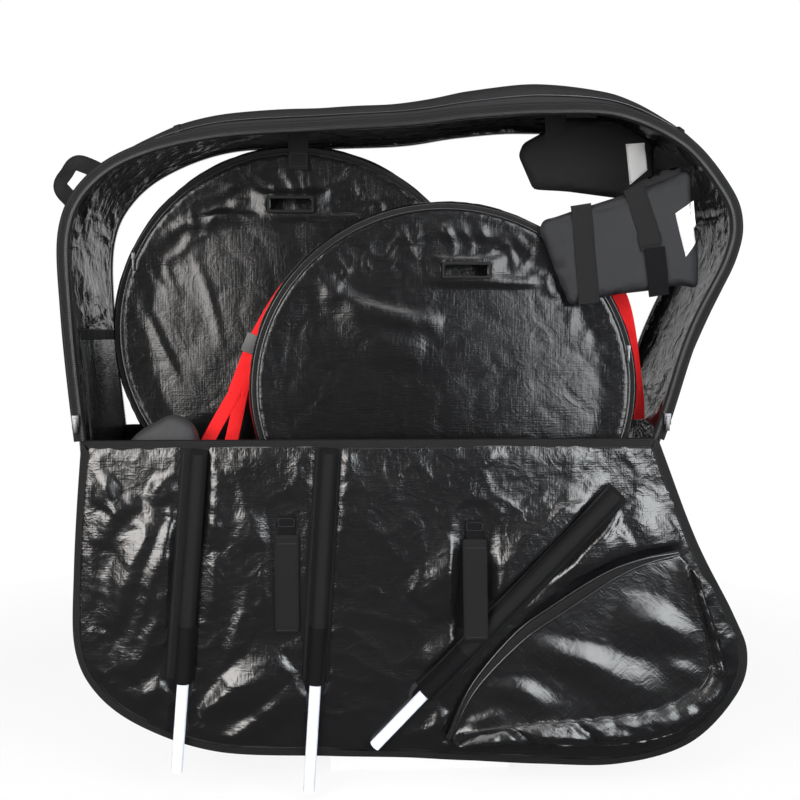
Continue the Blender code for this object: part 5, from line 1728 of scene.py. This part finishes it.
def inflate(made, cap):
    """Cloth filled from inside, with a cap on how far it may swell."""
    count = len(made.data.vertices)
    before = np.empty(count * 3)
    made.data.vertices.foreach_get("co", before)
    modifier = made.modifiers.new("cloth", "CLOTH")
    settings = modifier.settings
    settings.use_pressure = True
    settings.uniform_pressure_force = AIR_PRESSURE
    settings.effector_weights.gravity = 0
    settings.quality = 5
    settings.mass = 0.3
    settings.tension_stiffness = 20
    settings.compression_stiffness = 12
    settings.bending_stiffness = 0.4
    modifier.point_cache.frame_start = 1
    modifier.point_cache.frame_end = SIM_FRAMES
    for number in range(1, SIM_FRAMES + 1):
        bpy.context.scene.frame_set(number)
    graph = bpy.context.evaluated_depsgraph_get()
    done = made.evaluated_get(graph).to_mesh()
    after = np.empty(count * 3)
    done.vertices.foreach_get("co", after)
    made.modifiers.remove(modifier)
    bpy.context.scene.frame_set(1)
    move = (after - before).reshape(-1, 3)
    length = np.linalg.norm(move, axis=1)
    share = np.minimum(1.0, cap / np.maximum(length, 1e-9))
    made.data.vertices.foreach_set("co", (before.reshape(-1, 3) + move * share[:, None]).ravel())
    made.data.update()


# The front handlebar pad's outline, its upper edge and its folds
FRONT_PAD = ((0.330, 0.686), (0.382, 0.705), (0.476, 0.735), (0.590, 0.776), (0.600, 0.768),
             (0.607, 0.694), (0.620, 0.617), (0.620, 0.572), (0.612, 0.566), (0.574, 0.566),
             (0.528, 0.557), (0.466, 0.550), (0.380, 0.533), (0.352, 0.596), (0.324, 0.668))
PAD_TOP_LINE = ((0.330, 0.686), (0.382, 0.705), (0.476, 0.735), (0.598, 0.780))
PAD_FOLDS = (
    (((0.384, 0.682), (0.353, 0.661), (0.326, 0.654)), 0.007, 0.012, 0.0040),
    (((0.386, 0.648), (0.365, 0.630), (0.344, 0.614)), 0.006, 0.010, 0.0036),
    (((0.388, 0.610), (0.374, 0.594), (0.358, 0.581)), 0.006, 0.010, 0.0030),
    (((0.391, 0.566), (0.384, 0.555), (0.370, 0.546)), 0.005, 0.008, 0.0026),
    (((0.610, 0.700), (0.585, 0.640), (0.572, 0.575)), 0.012, 0.018, 0.0026),
    (((0.440, 0.543), (0.446, 0.561), (0.434, 0.581)), 0.006, 0.006, 0.0022),
)


def strap_on(name, points, width, body, finish, thickness=0.0016):
    """A strap along points in X, Y and Z, its face to the front."""
    path = [Vector(point) for point in resampled(smooth_line(points, 6), 0.005)]
    return sweep(name, path, band_profile(width, thickness), (0, -1, 0), finish, body)


def blank_label(name, corners, y_of, body):
    """A bare woven patch, with its four corners given and its face curved with the pad."""
    a, b, c, d = [Vector(corner) for corner in corners]
    rows = []
    for step in range(13):
        share = step / 12
        left = a.lerp(d, share)
        right = b.lerp(c, share)
        line = [left.lerp(right, place / 8) for place in range(9)]
        top = [Vector((x, y_of(x, z) - 0.0009, z)) for x, z in line]
        low = [Vector((x, y_of(x, z), z)) for x, z in line]
        rows.append(top + low[::-1])
    loft(name, rows, LABEL, body, smooth=40)
    rim = [a, b, c, d, a]
    inset = sum((a, b, c, d), Vector((0, 0))) / 4
    path = []
    for corner in rim:
        place = corner + (inset - corner) * 0.08
        path.append(Vector((place.x, y_of(place.x, place.y) - 0.0012, place.y)))
    stitches(name + "_seam", path, (0, -1, 0), body)


def strap_over(name, rows, width, face, lift, body, finish, thickness=0.0016):
    """A strap that follows a pad's front along places in X and Z."""
    line = resampled(smooth_line(rows, 6), 0.005)
    heights = [face(x, z) for x, z in line]
    calm = [sum(heights[max(step - 2, 0):step + 3]) / len(heights[max(step - 2, 0):step + 3])
            for step in range(len(line))]
    path = [Vector((x, y - lift, z)) for (x, z), y in zip(line, calm)]
    return sweep(name, path, band_profile(width, thickness), (0, -1, 0), finish, body)


# How far a pad's cloth may swell, and how far off their pad's front the straps lie
PAD_SWELL = 0.0045
POUCH_SWELL = 0.006
STRAP_LIFT = 0.0013
TOP_STRAP_LIFT = 0.0036


def make_front_pad():
    """The front pad with its folded flap, two straps, a hook end and a bare patch."""
    body = "front_handlebar_pad"
    middle = -0.1013 - 0.010

    def y_of(places):
        return middle + wanders(places, 9.0, 71) * 0.0012

    def half_of(places, gap):
        down, share = beside(places, resampled(smooth_line(PAD_TOP_LINE, 6), 0.006))
        groove = np.exp(-((down - 0.014) / 0.0028) ** 2) * np.clip((0.50 - places[:, 0]) / 0.03, 0, 1)
        folds = crinkles(places, 9.0, 72, (1, 0.5))
        fine = crinkles(places, 26.0, 73)
        edge = np.clip(gap / 0.02, 0, 1)
        return rounded(gap, 0.013, 0.0082) + edge * (
            -0.0034 * groove + 0.0016 * folds + 0.0007 * fine + 0.6 * fold_rise(places, PAD_FOLDS))

    outline = rounded_loop(FRONT_PAD, 0.010)
    pad = pillow("front_pad_cloth", outline, 0.005, y_of, half_of, PAD_CLOTH, body)
    inflate(pad, PAD_SWELL)
    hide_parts("front_handlebar_pad")
    face = front_of(pad)

    def flap_half(places, gap):
        folds = crinkles(places, 16.0, 74)
        return rounded(gap, 0.008, 0.0050) + np.clip(gap / 0.01, 0, 1) * 0.0012 * folds

    rows = ((0.484, 0.700), (0.486, 0.744), (0.519, 0.761), (0.550, 0.775), (0.583, 0.784),
            (0.590, 0.700))
    # The folded flap wears the darker pad nylon, painted shade in the fold
    flap = pillow("front_pad_fold", rounded_loop(rows, 0.006), 0.006, level_at(middle + 0.008),
                  flap_half, PAD_SHADED, body)

    left = ((0.3985, 0.7120), (0.4000, 0.7000), (0.4046, 0.6452), (0.4098, 0.5927), (0.4157, 0.5385))
    strap = strap_over("front_pad_band_left", left, 0.037, face, STRAP_LIFT, body, WEBBING)
    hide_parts("front_pad_strap_left")
    right = ((0.4925, 0.7420), (0.4980, 0.7250), (0.5062, 0.7010), (0.5204, 0.6603), (0.5239, 0.6311))
    strap = strap_over("front_pad_band_right", right, 0.038, face, STRAP_LIFT, body, WEBBING)
    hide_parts("front_pad_strap_right")
    turned_over = ((0.5195, 0.6600), (0.5235, 0.6420))
    strap_over("front_pad_keeper", turned_over, 0.041, face, 0.0034, body, WEBBING, 0.0024)
    over = ((0.5298, 0.6364), (0.5357, 0.5931), (0.5419, 0.5520))
    strap_over("front_pad_hook_end", over, 0.037, face, TOP_STRAP_LIFT, body, HOOK_LOOP, 0.0018)
    corners = ((0.5673, 0.6969), (0.6010, 0.7200), (0.6085, 0.6480), (0.5869, 0.6211))
    blank_label("front_pad_patch", corners, lambda x, z: face(x, z) + 0.0002, body)


def make_rear_pad():
    """The rear pad with its two straps and a bare patch."""
    body = "rear_handlebar_pad"
    low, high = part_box("rear_handlebar_pad")
    rows = ((0.245, 0.866), (0.252, 0.890), (0.320, 0.945), (0.400, 0.945), (0.452, 0.905),
            (0.459, 0.765), (0.267, 0.797))
    places = [sized(row) for row in rows]
    outline = rounded_loop([(x, min(z, high[2] - 0.001)) for x, z in places], 0.008)
    middle = 0.020

    def y_of(places):
        return middle + wanders(places, 9.0, 75) * 0.0012

    def half_of(places, gap):
        folds = crinkles(places, 11.0, 76, (1, 0.5))
        return rounded(gap, 0.012, 0.0084) + np.clip(gap / 0.02, 0, 1) * 0.0012 * folds

    # The rear pad wears the darker pad nylon, painted shade for its place back in the arch
    pad = pillow("rear_pad_cloth", outline, 0.007, y_of, half_of, PAD_SHADED, body)
    inflate(pad, PAD_SWELL)
    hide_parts("rear_handlebar_pad")
    for word in ("left", "right"):
        low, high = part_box("rear_pad_strap_" + word)
        x = (low[0] + high[0]) / 2
        y = (low[1] + high[1]) / 2
        points = [(x, y, high[2]), (x, y - 0.0004, (low[2] + high[2]) / 2), (x, y, low[2])]
        strap = strap_on("rear_pad_band_" + word, points, high[0] - low[0], body, WEBBING)
        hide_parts("rear_pad_strap_" + word)
    face = front_of(pad)
    corners = ((0.5140, 0.8440), (0.5500, 0.8470), (0.5560, 0.7960), (0.5230, 0.7680))
    blank_label("rear_pad_patch", corners, lambda x, z: face(x, z) + 0.0002, body)


def make_pouch():
    """The soft grey pouch, slumped at the bag's left end."""
    rows = ((-0.336, 0.036), (-0.338, 0.270), (-0.312, 0.315), (-0.262, 0.352),
            (-0.235, 0.338), (-0.222, 0.306), (-0.216, 0.036))
    outline = rounded_loop([sized(row) for row in rows], 0.020)
    middle = -0.112 + 0.030

    def half_of(places, gap):
        folds = crinkles(places, 8.0, 81, (1, 0.4))
        fine = crinkles(places, 22.0, 82)
        return (rounded(gap, 0.030, 0.0245)
                + np.clip(gap / 0.02, 0, 1) * (0.0025 * folds + 0.0012 * fine - 0.0015))

    pouch = pillow("pouch_cloth", outline, 0.007, level_at(middle), half_of, POUCH_CLOTH, "parts_pouch")
    inflate(pouch, POUCH_SWELL)
    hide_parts("parts_pouch")


make_front_pad()
make_rear_pad()
make_pouch()


# The inner pocket at the arch's left end

def make_inner_pocket():
    """The gathered pocket on the lining, open at its upper hem."""
    low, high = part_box("inner_pocket")
    rows = []
    shares = [row / ARCH_ROWS for row in range(ARCH_ROWS + 1)
              if ARCH[row][0] < 0 and low[2] < ARCH[row][1] < high[2]]
    first, last = shares[0], shares[-1]
    hem = []
    for step in range(61):
        way = step / 60
        share = first + (last - first) * way
        outer = []
        inner = []
        for place in range(29):
            turn = -0.66 + 1.32 * place / 28
            x, z = share * ARCH_LENGTH, turn * 0.2
            puff = math.sin(math.pi * min(way * 0.9 + 0.1, 1.0)) ** 0.6
            gather = 0.5 + 0.5 * math.sin(turn * 34 + 2 * wander(x, z, 8.0, 91))
            lift = (0.0022 * puff * (0.6 + wander(x, z, 12.0, 92)) + 0.0016 * gather * way ** 3)
            base = WALL + GAP + LINING + 0.0042
            outer.append(arch_point(share, turn, base))
            inner.append(arch_point(share, turn, base + 0.0014 + max(lift, 0.0)))
        rows.append(outer + inner[::-1])
        if step == 60:
            hem = inner
    pocket = loft("inner_pocket_cloth", rows, TARP_SMOOTH, "root", smooth=60)
    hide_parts("inner_pocket")
    length = (last - first) * ARCH_LENGTH
    declare_cloth(pocket, (cloth_area(pocket) / length, length))
    row = arch_row(last)
    sweep("inner_pocket_hem", hem, band_profile(0.020, 0.0026), (row[2], 0, row[3]), BINDING, "root")


make_inner_pocket()


# Camera, lights, floor and backdrop

# How bright the paper looks to glossy rays, and the room to all but the camera's
PAPER_IN_GLOSS = 0.06
ROOM_LEVEL = 0.04

# The floor, the plinth and the camera
FLOOR_LEVEL = -0.3455
PLINTH_SIZE = (0.34, 0.16, 0.3444)
PLINTH_PLACE = (0.12, 0.03, -0.1732)
CAMERA_PLACE = (0.011, -1.74, 0.480)
CAMERA_LENS = 41.085
CAMERA_TILT = 86
CAMERA_PAN = -2.4


def make_stage():
    """White paper on the floor and the plinth, and a room that is white to the camera only."""
    paper = Finish("studio_paper", (0.90, 0.90, 0.90), 0.9, Specular_IOR_Level=0.0)
    light_path = paper.tree.nodes.new("ShaderNodeLightPath")
    seen = Signal(paper, light_path.outputs["Is Camera Ray"])
    glossy = Signal(paper, light_path.outputs["Is Glossy Ray"])
    where = paper.place(uv=False)
    reach = paper.node("ShaderNodeVectorMath", {"operation": "LENGTH"}, {0: where}, "Value")
    far = ((reach - 1.0) * 1.2).at_least(0.0).at_most(1.0)
    shader = paper.shader.outputs[0]
    for mask, level in ((seen * (0.88 + far * 0.12), 1.0), (glossy * 0.985, PAPER_IN_GLOSS)):
        glow = paper.tree.nodes.new("ShaderNodeEmission")
        glow.inputs["Color"].default_value = (level, level, level, 1)
        both = paper.tree.nodes.new("ShaderNodeMixShader")
        paper.tree.links.new(mask.socket, both.inputs[0])
        paper.tree.links.new(shader, both.inputs[1])
        paper.tree.links.new(glow.outputs[0], both.inputs[2])
        shader = both.outputs[0]
    paper.tree.links.new(shader, paper.tree.nodes["Material Output"].inputs["Surface"])
    bpy.ops.object.select_all(action="DESELECT")
    bpy.ops.mesh.primitive_plane_add(size=12, location=(0, 0, FLOOR_LEVEL))
    floor = bpy.context.object
    floor.name = "floor"
    floor.data.materials.append(paper.material)
    bpy.ops.object.select_all(action="DESELECT")
    bpy.ops.mesh.primitive_cube_add(size=1, location=PLINTH_PLACE)
    plinth = bpy.context.object
    plinth.name = "plinth"
    plinth.scale = PLINTH_SIZE
    bpy.ops.object.transform_apply(location=True, scale=True)
    plinth.data.materials.append(paper.material)
    world = bpy.data.worlds.new("studio")
    bpy.context.scene.world = world
    world.use_nodes = True
    tree = world.node_tree
    back = tree.nodes["Background"]
    path = tree.nodes.new("ShaderNodeLightPath")
    level = tree.nodes.new("ShaderNodeMapRange")
    tree.links.new(path.outputs["Is Camera Ray"], level.inputs["Value"])
    level.inputs["To Min"].default_value = ROOM_LEVEL
    level.inputs["To Max"].default_value = 1.0
    back.inputs["Color"].default_value = (1, 1, 1, 1)
    tree.links.new(level.outputs[0], back.inputs["Strength"])


def make_light(name, place, target, size, radiance, colour=(1, 1, 1)):
    """A softbox, its power worked out from how bright its face looks."""
    data = bpy.data.lights.new(name, "AREA")
    data.shape = "RECTANGLE"
    data.size, data.size_y = size
    data.energy = radiance * math.pi * size[0] * size[1]
    data.color = colour
    made = bpy.data.objects.new(name, data)
    made.location = place
    made.rotation_euler = (Vector(target) - Vector(place)).to_track_quat("-Z", "Y").to_euler()
    bpy.context.scene.collection.objects.link(made)


def make_camera():
    """The camera in front of the bag, a little above its middle."""
    data = bpy.data.cameras.new("camera")
    data.lens = CAMERA_LENS
    data.sensor_width = 36
    made = bpy.data.objects.new("camera", data)
    made.location = CAMERA_PLACE
    made.rotation_euler = (math.radians(CAMERA_TILT), 0, math.radians(CAMERA_PAN))
    bpy.context.scene.collection.objects.link(made)
    bpy.context.scene.camera = made


make_stage()
make_light("left_softbox", (-1.45, -2.0, 0.80), (-0.05, 0, 0.1), (1.3, 1.7), 11.0, (1.0, 0.97, 0.94))
make_light("right_softbox", (1.45, -2.0, 0.80), (0.05, 0, 0.1), (1.3, 1.7), 9.5, (0.95, 0.98, 1.0))
make_light("top_softbox", (0.0, -1.5, 2.3), (0, 0, 0.4), (2.0, 0.9), 5.0)
make_light("back_softbox", (0.3, 2.4, 1.2), (0, 0, 0.3), (1.8, 1.4), 0.9)
make_camera()
bpy.context.scene.view_settings.view_transform = "Standard"

# What the CAD nodes that still show are made of
LOOKS = {
    "outer_fabric": OUTER, "lining_tarp": TARP, "webbing": WEBBING, "pad_nylon": PAD_CLOTH,
    "red_webbing": RED, "tube_white": WHITE_TUBE, "zip_metal": DARK_METAL,
    "moulded_plastic": PLASTIC, "rubber": RUBBER, "steel": STEEL,
}
for subpart in frame["record"]["subparts"]:
    for place in frame["nodes"][subpart["node"]].material_slots:
        place.material = LOOKS[subpart["material_slot"]]
